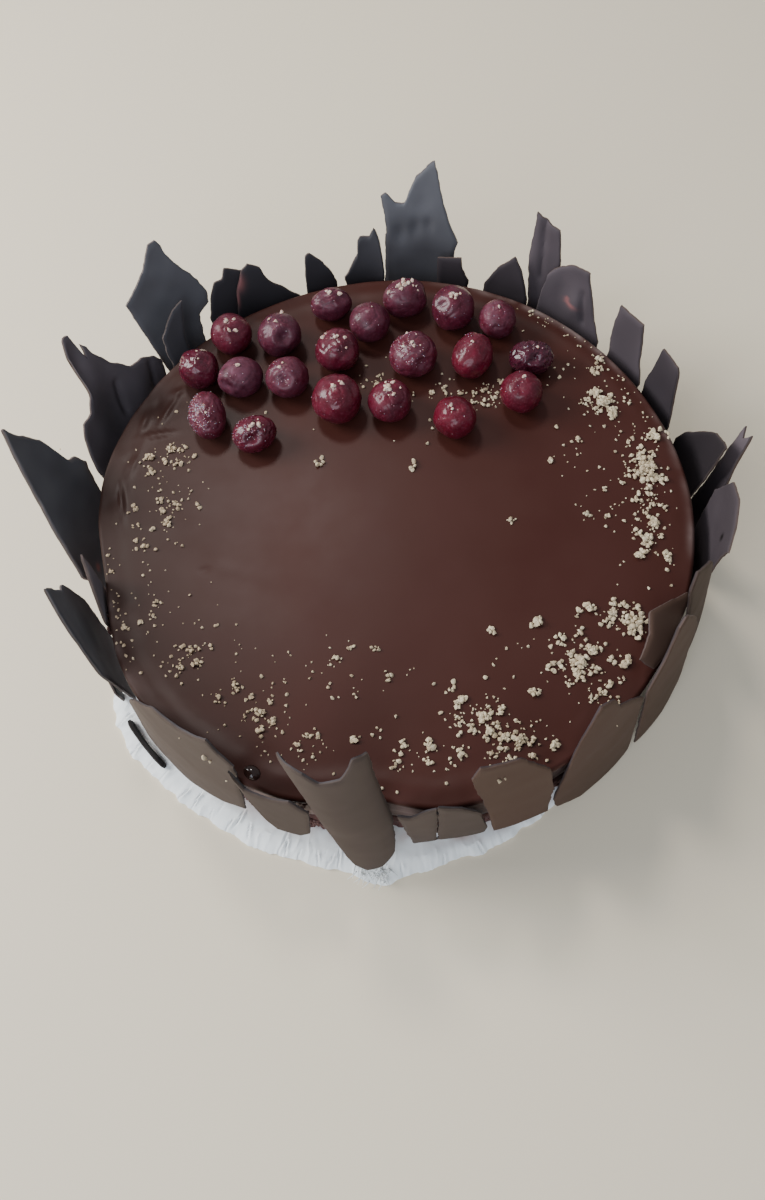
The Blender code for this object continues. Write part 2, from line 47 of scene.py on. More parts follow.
cake = dict(
    rimRadius=120.0, top=55.0, glazeThick=5.0, spongeTop=19.7, paperThick=1.3, gap=0.3, steps=420,
    rimWave=0.25, rimWaves=5,                              # size and number of the rim's slow waves
    rimDents=((277.0, 5.5, 15.0), (350.0, 5.5, 9.0)),      # azimuth, depth, half width in degrees
    lipHeight=0.5, lipInward=7.0, lipHalfWidth=3.5,
)


def addObject(name, data):
    item = bpy.data.objects.new(name, data)
    bpy.context.scene.collection.objects.link(item)
    return item


# Camera and light

camera = dict(
    x=-0.0061257, y=-0.182303, z=0.377235, tiltDegrees=24.144, rollDegrees=-7.187,
    lensMm=27.806, sensorMm=36.0,
)


def placeCamera():
    # the tilt turns the camera up from straight down, the roll turns the picture
    data = bpy.data.cameras.new("camera")
    data.lens = camera["lensMm"]
    data.sensor_width = camera["sensorMm"]
    data.clip_start = 0.01
    item = addObject("camera", data)
    item.matrix_world = (Matrix.Translation((camera["x"], camera["y"], camera["z"]))
                         @ Matrix.Rotation(math.radians(camera["tiltDegrees"]), 4, "X")
                         @ Matrix.Rotation(math.radians(camera["rollDegrees"]), 4, "Z"))
    bpy.context.scene.camera = item


light = dict(
    skyColour=(0.85, 0.94, 1.0), skyStrength=0.45,
    aim=(0.0, 0.0, 0.055),      # each panel faces the cake's top
    # name, position, size, watts, colour
    panels=(
        ("windowLight", (-0.86, 0.28, 0.66), 0.62, 15.0, (0.975, 0.985, 0.97)),
        ("ceilingLight", (-0.24, 0.75, 1.35), 0.28, 7.3, (1.0, 0.95, 0.90)),
        ("roomLight", (-0.42, -0.90, 0.85), 0.90, 9.0, (0.82, 0.89, 1.0)),
    ),
)


def placeLights():
    world = bpy.data.worlds.new("softStudio")
    world.use_nodes = True
    background = world.node_tree.nodes["Background"]
    background.inputs["Color"].default_value = (*light["skyColour"], 1.0)
    background.inputs["Strength"].default_value = light["skyStrength"]
    bpy.context.scene.world = world
    for name, place, size, watts, colour in light["panels"]:
        data = bpy.data.lights.new(name, "AREA")
        data.shape = "DISK"
        data.size = size
        data.energy = watts
        data.color = colour
        item = addObject(name, data)
        away = Vector(place) - Vector(light["aim"])
        item.matrix_world = Matrix.Translation(place) @ away.to_track_quat("Z", "Y").to_matrix().to_4x4()


# Places and noise

def outward(azimuth):
    # the direction that points out from the axis: (sin, -cos)
    angle = np.radians(azimuth)
    return np.sin(angle), -np.cos(angle)


def azimuthOf(x, y):
    # degrees from the front, from 0 to 360
    return np.degrees(np.arctan2(x, -y)) % 360.0


def turnFrom(azimuth, centre):
    # degrees from the centre, from -180 to 180
    return (azimuth - centre + 180.0) % 360.0 - 180.0


def bell(away):
    # 1 in the middle, 1 / e at one half width: e to the power of minus the square
    return np.exp(-away ** 2)


def hashValue(cell, seed):
    # a fixed value in -1..1 for each whole-number corner: its three numbers mixed by primes and bit shifts
    mix = (cell[..., 0] * 73856093) ^ (cell[..., 1] * 19349663) ^ (cell[..., 2] * 83492791) ^ (seed * 265443)
    mix = ((mix ^ (mix >> 13)) * 1274126177) & 0x7fffffff
    return ((mix ^ (mix >> 16)) & 0xffff) / 32767.5 - 1.0


def latticeNoise(points, seed):
    # smooth noise: the eight corner values round a point, blended along each axis by 3t^2 - 2t^3
    cell = np.floor(points).astype(np.int64)
    t = points - cell
    t = t * t * (3.0 - 2.0 * t)
    total = np.zeros(points.shape[:-1])
    for corner in np.ndindex(2, 2, 2):
        step = np.array(corner)
        total = total + np.prod(np.where(step == 1, t, 1.0 - t), axis=-1) * hashValue(cell + step, seed)
    return total


def cloudNoise(points, octaves, seed):
    # each octave is twice as fine and half as strong as the one before
    total = np.zeros(points.shape[:-1])
    for octave in range(octaves):
        total = total + latticeNoise(points * 2.0 ** octave + 17.3 * octave, seed + octave) * 0.5 ** octave
    return total


def stack3(a, b, c=0.0):
    # three arrays of one shape as the coordinates of points
    return np.stack(np.broadcast_arrays(a, b, c), axis=-1).astype(float)


# Meshes

def gridFaces(rows, columns, wrap=False):
    # one quad for each cell of a grid of points numbered row by row; wrap joins the last column to the first
    row, column = np.meshgrid(np.arange(rows - 1), np.arange(columns if wrap else columns - 1), indexing="ij")
    following = (column + 1) % columns
    return np.stack([row * columns + column, row * columns + following,
                     (row + 1) * columns + following, (row + 1) * columns + column], axis=-1).reshape(-1, 4)


def makePiece(name, points, faceSets, material, slotName, nodes=(), sharpDegrees=None, layers=None):
    # a mesh from points in mm and arrays of faces, which are turned round if the volume inside, a sixth of
    # the sum of each triangle's triple product, comes out below zero
    volume = 0.0
    for faces in faceSets:
        for corner in range(1, faces.shape[1] - 1):
            a, b, c = points[faces[:, 0]], points[faces[:, corner]], points[faces[:, corner + 1]]
            volume += np.einsum("ij,ij->i", a, np.cross(b, c)).sum()
    if volume < 0.0:
        faceSets = [faces[:, ::-1] for faces in faceSets]
    mesh = bpy.data.meshes.new(name)
    mesh.vertices.add(len(points))
    mesh.vertices.foreach_set("co", (points * mm).astype(np.float32).ravel())
    sizes = np.concatenate([np.full(len(faces), faces.shape[1]) for faces in faceSets])
    corners = np.concatenate([faces.ravel() for faces in faceSets])
    mesh.loops.add(len(corners))
    mesh.loops.foreach_set("vertex_index", corners.astype(np.int32))
    mesh.polygons.add(len(sizes))
    mesh.polygons.foreach_set("loop_start", np.concatenate([[0], np.cumsum(sizes)[:-1]]).astype(np.int32))
    mesh.update(calc_edges=True)
    mesh.shade_smooth()
    if sharpDegrees:
        mesh.set_sharp_from_angle(angle=math.radians(sharpDegrees))
    for layerName, values in (layers or {}).items():
        layer = mesh.attributes.new(layerName, "FLOAT", "POINT")
        layer.data.foreach_set("value", np.asarray(values, dtype=np.float32).ravel())
    mesh.materials.append(material)
    item = addObject(name, mesh)
    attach(item, "root")
    if nodes:
        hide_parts(*nodes)


def closedPiece(name, grid, material, layers=None, **rest):
    # rings of points about an axis, closed by a middle point at each end that takes the layer value beside it
    rings, steps = grid.shape[:2]
    points = np.vstack([grid.reshape(-1, 3), grid[0].mean(axis=0), grid[-1].mean(axis=0)])
    around = np.arange(steps)
    after = (around + 1) % steps
    lastRing = np.array([1, 1, 0]) * (rings - 1) * steps
    caps = np.concatenate([np.stack([after, around, np.full(steps, rings * steps)], axis=1),
                           np.stack([around, after, np.full(steps, rings * steps + 1)], axis=1) + lastRing])
    layers = {layerName: np.append(values, (values[0, 0], values[-1, 0]))
              for layerName, values in (layers or {}).items()}
    makePiece(name, points, [gridFaces(rings, steps, wrap=True), caps], material, layers=layers, **rest)


def turnedPiece(name, radius, height, azimuth, material, **rest):
    # rings about the upright axis: radius and height by ring and azimuth
    outX, outY = outward(azimuth)
    closedPiece(name, stack3(radius * outX, radius * outY, height), material, **rest)


def ballAngles(rings, steps):
    # angles from the top, one a ring, and angles round the axis
    return np.linspace(0.0, np.pi, rings + 2)[1:-1, None], np.arange(steps)[None] * 2.0 * np.pi / steps


# Materials

class Recipe:
    # one material with its node tree and its shader at hand
    def __init__(self, name, **values):
        self.material = bpy.data.materials.new(name)
        self.material.use_nodes = True
        self.nodes = self.material.node_tree.nodes
        self.links = self.material.node_tree.links
        self.shader = self.nodes["Principled BSDF"]
        for socket, value in values.items():
            self.shader.inputs[socket.replace("_", " ")].default_value = value
        self.place = self.nodes.new("ShaderNodeTexCoord").outputs["Object"]

    def noise(self, scale, detail=3.0, roughness=0.55):
        # scale is in cycles a metre
        texture = self.nodes.new("ShaderNodeTexNoise")
        texture.inputs["Scale"].default_value = scale
        texture.inputs["Detail"].default_value = detail
        texture.inputs["Roughness"].default_value = roughness
        self.links.new(self.place, texture.inputs["Vector"])
        return texture.outputs[0]

    def layer(self, name):
        attribute = self.nodes.new("ShaderNodeAttribute")
        attribute.attribute_name = name
        return attribute.outputs["Fac"]

    def ramp(self, factor, stops):
        # stops are (place, grey value) or (place, colour)
        ramp = self.nodes.new("ShaderNodeValToRGB")
        while len(ramp.color_ramp.elements) < len(stops):
            ramp.color_ramp.elements.new(0.5)
        for element, (place, colour) in zip(ramp.color_ramp.elements, stops):
            element.position = place
            element.color = (*colour, 1.0) if isinstance(colour, tuple) else (colour, colour, colour, 1.0)
        self.links.new(factor, ramp.inputs["Fac"])
        return ramp.outputs["Color"]

    def mix(self, factor, first, second):
        # first and second are sockets or colours
        mix = self.nodes.new("ShaderNodeMix")
        mix.data_type = "RGBA"
        self.links.new(factor, mix.inputs[0])
        for index, value in ((6, first), (7, second)):
            if isinstance(value, tuple):
                mix.inputs[index].default_value = (*value, 1.0)
            else:
                self.links.new(value, mix.inputs[index])
        return mix.outputs[2]

    def bump(self, height, strength, distanceMm, under=None):
        bump = self.nodes.new("ShaderNodeBump")
        bump.inputs["Strength"].default_value = strength
        bump.inputs["Distance"].default_value = distanceMm * mm
        self.links.new(height, bump.inputs["Height"])
        if under:
            self.links.new(under, bump.inputs["Normal"])
        return bump.outputs["Normal"]

    def wire(self, **sockets):
        for socket, value in sockets.items():
            self.links.new(value, self.shader.inputs[socket.replace("_", " ")])
        return self.material


def chocolateMaterial():
    # dark matt chocolate: grey outside, painted browner on the right as if in warm light; inside, a pale film
    # of painted sheen from cool reflected light; then scars, painted shade with dark spots, and painted
    # highlights on the broken edges
    recipe = Recipe("darkChocolate", IOR=1.46, Specular_IOR_Level=0.14)
    clouds = recipe.noise(32.0, 2.0, 0.5)
    grey = recipe.ramp(clouds, ((0.30, (0.070, 0.050, 0.043)), (0.72, (0.080, 0.058, 0.050))))
    brown = recipe.ramp(clouds, ((0.30, (0.084, 0.049, 0.036)), (0.72, (0.096, 0.058, 0.044))))
    # painted warm light: the outside is browner on the right-side shards
    outside = recipe.mix(recipe.layer("warm"), grey, brown)
    # the pale inner film is a painted sheen of cool reflected light, pinker where warm light is painted
    film = recipe.mix(recipe.layer("warm"), (0.212, 0.214, 0.238), (0.236, 0.190, 0.212))
    sheenedFilm = recipe.mix(recipe.layer("paintedSheen"), (0.022, 0.018, 0.021), film)
    inside = recipe.mix(recipe.ramp(clouds, ((0.30, 0.0), (0.72, 0.25))), sheenedFilm, (0.036, 0.028, 0.032))
    body = recipe.mix(recipe.layer("inside"), outside, inside)
    scarred = recipe.mix(recipe.layer("scar"), body, (0.250, 0.105, 0.105))
    # painted shade: the dark layer darkens whole sheets that stand in shade, and a few dark spots
    shadePainted = recipe.mix(recipe.layer("dark"), scarred, (0.010, 0.008, 0.008))
    # painted highlight along the broken edges
    edge = recipe.mix(recipe.layer("paintedEdgeHighlight"), shadePainted, (0.150, 0.110, 0.098))
    rough = recipe.ramp(recipe.noise(24.0, 1.0), ((0.3, 0.60), (0.75, 0.68)))
    return recipe.wire(Base_Color=edge, Roughness=rough)


def glazeMaterial():
    # satin chocolate glaze: a painted reflection greys it toward the left; dull round the rim and paler where
    # its edge is worn
    recipe = Recipe("chocolateGlaze", IOR=1.47, Specular_IOR_Level=0.17)
    clouds = recipe.noise(22.0, 3.0, 0.55)
    body = recipe.ramp(clouds, ((0.30, (0.0445, 0.0125, 0.0092)), (0.72, (0.051, 0.0160, 0.0122))))
    # painted reflection: the coat greys toward the left
    reflectionGreyed = recipe.mix(recipe.layer("paintedReflection"), body, (0.030, 0.0142, 0.0110))
    rubbed = recipe.mix(recipe.layer("worn"), reflectionGreyed, (0.200, 0.150, 0.140))
    patches = recipe.ramp(recipe.noise(45.0, 3.0), ((0.25, 0.35), (0.75, 0.43)))
    rough = recipe.mix(recipe.layer("rim"), patches, (0.62, 0.62, 0.62))
    normal = recipe.bump(recipe.noise(70.0, 2.0), 0.06, 0.6)
    normal = recipe.bump(recipe.noise(1100.0, 2.0), 0.03, 0.2, normal)
    return recipe.wire(Base_Color=rubbed, Roughness=rough, Normal=normal)


def wetGlazeMaterial():
    # nearly black and glossy
    recipe = Recipe("wetGlaze", IOR=1.45, Roughness=0.10)
    body = recipe.ramp(recipe.noise(150.0), ((0.3, (0.020, 0.009, 0.007)), (0.7, (0.032, 0.015, 0.012))))
    return recipe.wire(Base_Color=body)


def mousseMaterial():
    # pinkish brown with a fine grain
    recipe = Recipe("chocolateMousse", Roughness=0.72)
    body = recipe.ramp(recipe.noise(120.0, 4.0), ((0.3, (0.115, 0.066, 0.058)), (0.7, (0.185, 0.118, 0.106))))
    normal = recipe.bump(recipe.noise(600.0, 3.0), 0.35, 0.4)
    return recipe.wire(Base_Color=body, Normal=normal)


def spongeMaterial():
    # dark crumb soaked red, with paler specks
    recipe = Recipe("cherrySponge", Roughness=0.85)
    body = recipe.ramp(recipe.noise(330.0, 5.0, 0.7), (
        (0.30, (0.035, 0.012, 0.011)), (0.52, (0.085, 0.028, 0.026)), (0.75, (0.190, 0.085, 0.085))))
    normal = recipe.bump(recipe.noise(900.0, 4.0), 0.7, 0.6)
    return recipe.wire(Base_Color=body, Normal=normal)


def nutMaterial():
    # cream to tan; the tone layer dulls single grains
    recipe = Recipe("choppedNuts", Roughness=0.75)
    body = recipe.ramp(recipe.noise(700.0, 4.0, 0.65), (
        (0.25, (0.400, 0.300, 0.180)), (0.50, (0.600, 0.500, 0.345)), (0.78, (0.760, 0.680, 0.520))))
    toned = recipe.mix(recipe.layer("tone"), body, (0.420, 0.310, 0.200))
    normal = recipe.bump(recipe.noise(2400.0, 3.0), 0.5, 0.2)
    return recipe.wire(Base_Color=toned, Normal=normal)


def paperMaterial():
    # white, shaded in the creases and stained near the cake
    recipe = Recipe("whitePaper", Roughness=0.78)
    body = recipe.ramp(recipe.noise(90.0, 4.0), ((0.3, (0.90, 0.92, 0.92)), (0.7, (0.94, 0.95, 0.94))))
    creased = recipe.mix(recipe.layer("crease"), body, (0.56, 0.57, 0.58))
    stained = recipe.mix(recipe.layer("stain"), creased, (0.50, 0.33, 0.28))
    normal = recipe.bump(recipe.noise(600.0, 3.0, 0.6), 0.08, 0.4)
    return recipe.wire(Base_Color=stained, Normal=normal)


def cherryMaterial(name, rosy, wet):
    # rosy runs from dusky purple to clear deep red; wet lowers the roughness and adds a coat
    recipe = Recipe(name, IOR=1.4, Specular_IOR_Level=0.28, Coat_Weight=0.06 + 0.38 * wet,
                    Coat_Roughness=0.28 - 0.14 * wet, Subsurface_Weight=0.15, Subsurface_Scale=0.003,
                    Subsurface_Radius=(1.0, 0.25, 0.25))
    deep = (0.030 + 0.036 * rosy, 0.0042 - 0.0022 * rosy, 0.0105 - 0.0030 * rosy)
    flesh = (0.070 + 0.055 * rosy, 0.0095 - 0.0050 * rosy, 0.0225 - 0.0055 * rosy)
    body = recipe.ramp(recipe.noise(170.0, 4.0, 0.6), ((0.32, deep), (0.70, flesh)))
    speckles = recipe.ramp(recipe.noise(1300.0, 2.0), ((0.55, 0.0), (0.75, 0.35)))
    speckled = recipe.mix(speckles, body, (0.240, 0.075, 0.105))
    # the frost layer is partly real frost and partly a painted sheen on the lit upper left
    frosted = recipe.mix(recipe.layer("frost"), speckled, (0.170, 0.060, 0.092))
    rough = recipe.ramp(recipe.layer("frost"), ((0.0, 0.42 - 0.20 * wet), (0.8, 0.66)))
    normal = recipe.bump(recipe.noise(260.0, 3.0, 0.6), 0.07, 0.4)
    return recipe.wire(Base_Color=frosted, Roughness=rough, Normal=normal)


def frostMaterial():
    # clear pinkish ice
    recipe = Recipe("frostCrystals", Roughness=0.25, Subsurface_Weight=0.5, Subsurface_Scale=0.002)
    body = recipe.ramp(recipe.noise(1200.0), ((0.3, (0.36, 0.15, 0.19)), (0.7, (0.66, 0.45, 0.50))))
    return recipe.wire(Base_Color=body)


def toppingMaterial():
    # nut crumbs tinted by the cherries
    recipe = Recipe("toppingCrumbs", Roughness=0.6, Subsurface_Weight=0.2, Subsurface_Scale=0.002)
    body = recipe.ramp(recipe.noise(900.0), ((0.3, (0.42, 0.25, 0.20)), (0.7, (0.74, 0.58, 0.48))))
    return recipe.wire(Base_Color=body)


def crumbMaterial():
    # crumbs of sponge and chocolate
    recipe = Recipe("cakeCrumbs", Roughness=0.8)
    body = recipe.ramp(recipe.noise(900.0), (
        (0.3, (0.050, 0.018, 0.015)), (0.55, (0.12, 0.050, 0.042)), (0.75, (0.26, 0.16, 0.15))))
    return recipe.wire(Base_Color=body)


# Cake body

def rimRadius(azimuth):
    # slow waves and the pressed-in places
    wave = cake["rimWave"]
    radius = cake["rimRadius"] - wave + wave * np.sin(cake["rimWaves"] * np.radians(azimuth) + 0.7)
    for centre, depth, halfWidth in cake["rimDents"]:
        radius = radius - depth * bell(turnFrom(azimuth, centre) / halfWidth)
    return radius


def glazeHeight(x, y):
    # the flat top, a low uneven lip near the rim, and slow waves
    azimuth = azimuthOf(x, y)
    inward = rimRadius(azimuth) - np.hypot(x, y)
    uneven = 0.5 + 0.5 * np.sin(np.radians(azimuth * 2 + 150))
    lip = cake["lipHeight"] * bell((inward - cake["lipInward"]) / cake["lipHalfWidth"]) * uneven
    return cake["top"] + lip + 0.12 * np.sin(x / 19.0 + 1.0) * np.cos(y / 23.0)


glaze = dict(
    # x, y, half length, half width, turn in degrees, height: dents are below zero
    marks=(
        (-91.6, 67.0, 6.0, 4.2, 60, -1.0), (-86.0, 63.0, 6.5, 1.3, 60, 0.7),
        (-91.0, 50.4, 6.0, 0.9, 0, 0.9), (-82.5, 70.5, 3.5, 1.6, 20, 0.6),
        (-96.5, 58.0, 5.0, 1.6, 70, 0.5), (-113.0, 22.5, 5.0, 4.4, 90, -1.1),
        (-106.4, 21.0, 6.5, 1.1, 95, 0.9), (-101.0, 38.0, 5.0, 1.4, 65, 0.4),
        (-73.5, -15.6, 1.6, 1.2, 0, -0.3), (-56.0, -25.0, 9.0, 4.0, 150, -0.10),
        (-66.0, -16.0, 6.0, 3.0, 150, 0.10), (-59.0, -98.0, 7.5, 6.0, 30, -0.9),
    ),
    rippleAt=238.0, rippleHalfWidth=22.0,                  # the knife ripples are deepest at the back left
    # azimuth, half width in degrees, strength of the pale worn edge
    worn=((139.0, 17.0, 0.85), (232.0, 8.0, 0.25), (95.0, 12.0, 0.30), (99.5, 3.5, 0.4), (77.0, 4.5, 0.35),
          (283.0, 3.0, 0.35), (292.0, 2.5, 0.30), (300.0, 2.0, 0.25), (124.0, 6.0, 0.30)),
    edgeDull=0.9, reflectionFrom=38.0, reflectionOver=75.0,            # a painted reflection greys the coat toward the left
    rollOut=1.7, rollDown=2.0, rollRings=8,                # the rounded top edge
    rings=((118.0, 30.0, 56), (29.0, 1.6, 46)),            # rings of the top: inward from, to, how many
)


def glazeRelief(x, y):
    # the marks are bell-shaped ovals; knife ripples of noise run along the rim
    total = glazeHeight(x, y)
    for centreX, centreY, halfLong, halfWide, turn, height in glaze["marks"]:
        angle = math.radians(turn)
        along = (x - centreX) * math.cos(angle) + (y - centreY) * math.sin(angle)
        across = (y - centreY) * math.cos(angle) - (x - centreX) * math.sin(angle)
        total = total + height * bell(np.hypot(along / halfLong, across / halfWide))
    azimuth = azimuthOf(x, y)
    nearRim = bell((rimRadius(azimuth) - np.hypot(x, y) - 5.0) / 9.0)
    ripple = cloudNoise(stack3(x / 6.0, y / 6.0, 3.0), 3, 21) * nearRim * 0.18
    deepest = bell((azimuth - glaze["rippleAt"]) / glaze["rippleHalfWidth"])
    return total + ripple * (0.5 + 1.3 * deepest) + 0.05 * cloudNoise(stack3(x / 24.0, y / 24.0, 8.0), 2, 5)


def makeGlaze():
    # rings from the middle of the top to its edge, which rolls over by a quarter turn, then down the side
    azimuth = np.arange(cake["steps"]) * 360.0 / cake["steps"]
    rim = rimRadius(azimuth)
    outX, outY = outward(azimuth)
    inward = np.concatenate([np.linspace(*stretch) for stretch in glaze["rings"]])[:, None]
    radius = np.maximum(rim - inward, 1.0)
    height = glazeRelief(radius * outX, radius * outY)
    edge = height[-1]
    wobble = 0.30 * cloudNoise(stack3(azimuth / 7.0, 0.0), 3, 9)
    turn = np.linspace(0.15, 0.5 * np.pi, glaze["rollRings"])[:, None]
    rolledRadius = rim - glaze["rollOut"] + (glaze["rollOut"] + wobble * 0.5) * np.sin(turn)
    rolledHeight = edge - glaze["rollDown"] * (1.0 - np.cos(turn))
    foot = cake["top"] - cake["glazeThick"]
    sideRadius = np.stack([rim + wobble * 0.5, rim - 0.3 + wobble * 0.4, rim - 1.0, rim - 1.6])
    sideHeight = np.stack([edge - 2.9, edge * 0.0 + foot + 0.9, edge * 0.0 + foot + 0.2, edge * 0.0 + foot])
    radius = np.concatenate([radius, rolledRadius, sideRadius])
    height = np.concatenate([height, rolledHeight, sideHeight])
    inFromRim = rim - radius
    worn = np.zeros_like(radius)
    for centre, halfWidth, strength in glaze["worn"]:
        worn = worn + strength * bell(turnFrom(azimuth, centre) / halfWidth) * bell((inFromRim - 1.6) / 1.7)
    patchy = 0.6 + 0.6 * cloudNoise(stack3(radius * outX / 5.0, radius * outY / 5.0, 1.0), 3, 33)
    # the greying toward the left is a painted reflection
    layers = {"worn": np.clip(worn * patchy, 0.0, 1.0),
              "rim": glaze["edgeDull"] * bell(np.maximum(inFromRim, 0.0) / 4.5),
              "paintedReflection": np.clip((-radius * outX - glaze["reflectionFrom"]) / glaze["reflectionOver"], 0.0, 1.0)}
    turnedPiece("glazeCoat", radius, height, azimuth, glazeMaterial(), nodes=("glaze_top",),
                slotName="chocolate_glaze", layers=layers)
    print("glaze made")


bead = dict(azimuth=328.6, radius=114.6, halfAlong=3.4, halfOut=2.8, low=51.5, high=56.2, rings=40, steps=60)


def makeBead():
    # a glossy drop of glaze on the rim: an ellipsoid swelled by a slow wave
    theta, phi = ballAngles(bead["rings"], bead["steps"])
    swell = 1.0 + 0.06 * np.sin(2.0 * phi + 1.0) * np.sin(theta) ** 2
    along = bead["halfAlong"] * np.sin(theta) * np.cos(phi) * swell
    out = bead["halfOut"] * np.sin(theta) * np.sin(phi) * swell
    middle, halfHigh = 0.5 * (bead["low"] + bead["high"]), 0.5 * (bead["high"] - bead["low"])
    outX, outY = outward(bead["azimuth"])
    reach = bead["radius"] + out
    grid = stack3(reach * outX - along * outY, reach * outY + along * outX, middle + halfHigh * np.cos(theta))
    closedPiece("glazeBead", grid, wetGlazeMaterial(), slotName="chocolate_glaze")
    print("drop of glaze made")


def bandGrid(steps, rows, foot, top):
    # the rings of a band round the side: azimuth, share of the way down from 0 to 1, and height
    azimuth = np.arange(steps) * 360.0 / steps
    share = np.linspace(0.0, 1.0, rows)[:, None]
    return azimuth, share, top + (foot - top) * share + 0.0 * azimuth


mousse = dict(rows=36, inset=1.3, edgeInset=1.2, smear=0.35)


def makeMousse():
    # the side swells between its two edges, with knife smears of noise that run round it
    foot, top = cake["spongeTop"] + cake["gap"], cake["top"] - cake["glazeThick"] - cake["gap"]
    azimuth, share, height = bandGrid(cake["steps"], mousse["rows"], foot, top)
    inset = mousse["inset"] + mousse["edgeInset"] * (2.0 * share - 1.0) ** 6
    outX, outY = outward(azimuth)
    smear = mousse["smear"] * cloudNoise(stack3(outX * 9.0, outY * 9.0, height / 5.0), 4, 14)
    radius = rimRadius(azimuth) - inset + smear
    turnedPiece("mousseBand", radius, height, azimuth, mousseMaterial(), nodes=("mousse",),
                slotName="chocolate_mousse")
    print("mousse made")


sponge = dict(steps=520, rows=38, inset=1.2, edgeInset=1.0, lumps=0.45, pits=0.5)


def makeSponge():
    # a crumbly side: coarse lumps and fine pits of noise
    foot = cake["paperThick"] + cake["gap"]
    azimuth, share, height = bandGrid(sponge["steps"], sponge["rows"], foot, cake["spongeTop"])
    outX, outY = outward(azimuth)
    place = stack3(outX * 60.0, outY * 60.0, height / 2.0)
    pits = sponge["pits"] * np.maximum(0.0, cloudNoise(place * 1.7, 3, 43) - 0.35)
    crumbly = sponge["lumps"] * cloudNoise(place, 4, 41) - pits
    radius = rimRadius(azimuth) - sponge["inset"] - sponge["edgeInset"] * (2.0 * share - 1.0) ** 8 + crumbly
    turnedPiece("spongeBase", radius, height, azimuth, spongeMaterial(), nodes=("sponge_base",),
                slotName="cherry_soaked_sponge")
    print("sponge made")


paper = dict(
    # azimuth and radius of the edge
    edge=((0, 132), (12, 129), (22, 125), (35, 121), (60, 118), (90, 116), (130, 116), (180, 116),
          (230, 117), (260, 122), (285, 132), (297, 139), (310, 136), (330, 134), (345, 134), (353, 137)),
    steps=1700, rings=34, inner=100.0, openFrom=116.0, openOver=10.0,
    # short creases: azimuth at the middle, radius from, radius to, slant in mm over the length, depth
    creases=(
        (300.1, 129, 138, 1.5, 0.9), (307.5, 129, 136, -1.0, 0.6), (312.4, 128, 138, -1.8, 1.0),
        (315.2, 126, 135, 0.8, 1.0), (322.8, 127, 137, -1.6, 1.0), (323.9, 122, 128, 0.6, 0.9),
        (326.5, 126, 131, 2.0, 0.7), (333.1, 122, 132, -1.2, 0.9), (334.0, 125, 134, 2.4, 1.0),
        (336.5, 128, 135, -1.4, 0.7), (340.1, 127, 134, 1.8, 1.0), (342.0, 127, 133, -2.4, 0.9),
        (343.6, 124, 132, 1.2, 0.9), (347.4, 129, 136, -0.8, 0.8), (304.0, 132, 137, 1.0, 0.6),
        (319.0, 129, 135, 1.2, 0.6), (294.0, 128, 137, 1.8, 0.8), (289.0, 126, 133, -1.2, 0.7),
        (355.0, 128, 136, 1.6, 0.8), (2.0, 126, 133, -1.4, 0.7), (9.0, 124, 130, 1.2, 0.8),
        (18.0, 121, 127, -1.0, 0.7), (27.0, 119, 124, 1.2, 0.7)),
)


def shortCreases(azimuth, radius, wander):
    # each is a narrow valley with a low ridge on one side: the relief, and the strength of the painted shade
    # along it
    relief, line = 0.0, 0.0
    for at, inner, outer, slant, depth in paper["creases"]:
        along = (radius - inner) / (outer - inner)
        side = radius * np.radians(turnFrom(azimuth, at)) - slant * (along - 0.5) + wander
        fade = np.clip(4.0 * np.minimum(along, 1.3 - along), 0.0, 1.0)
        relief = relief + fade * depth * (0.8 * bell((side - 0.9) / 0.7) - bell(side / 0.38))
        line = line + fade * depth * bell(side / 0.32)
    return relief, line


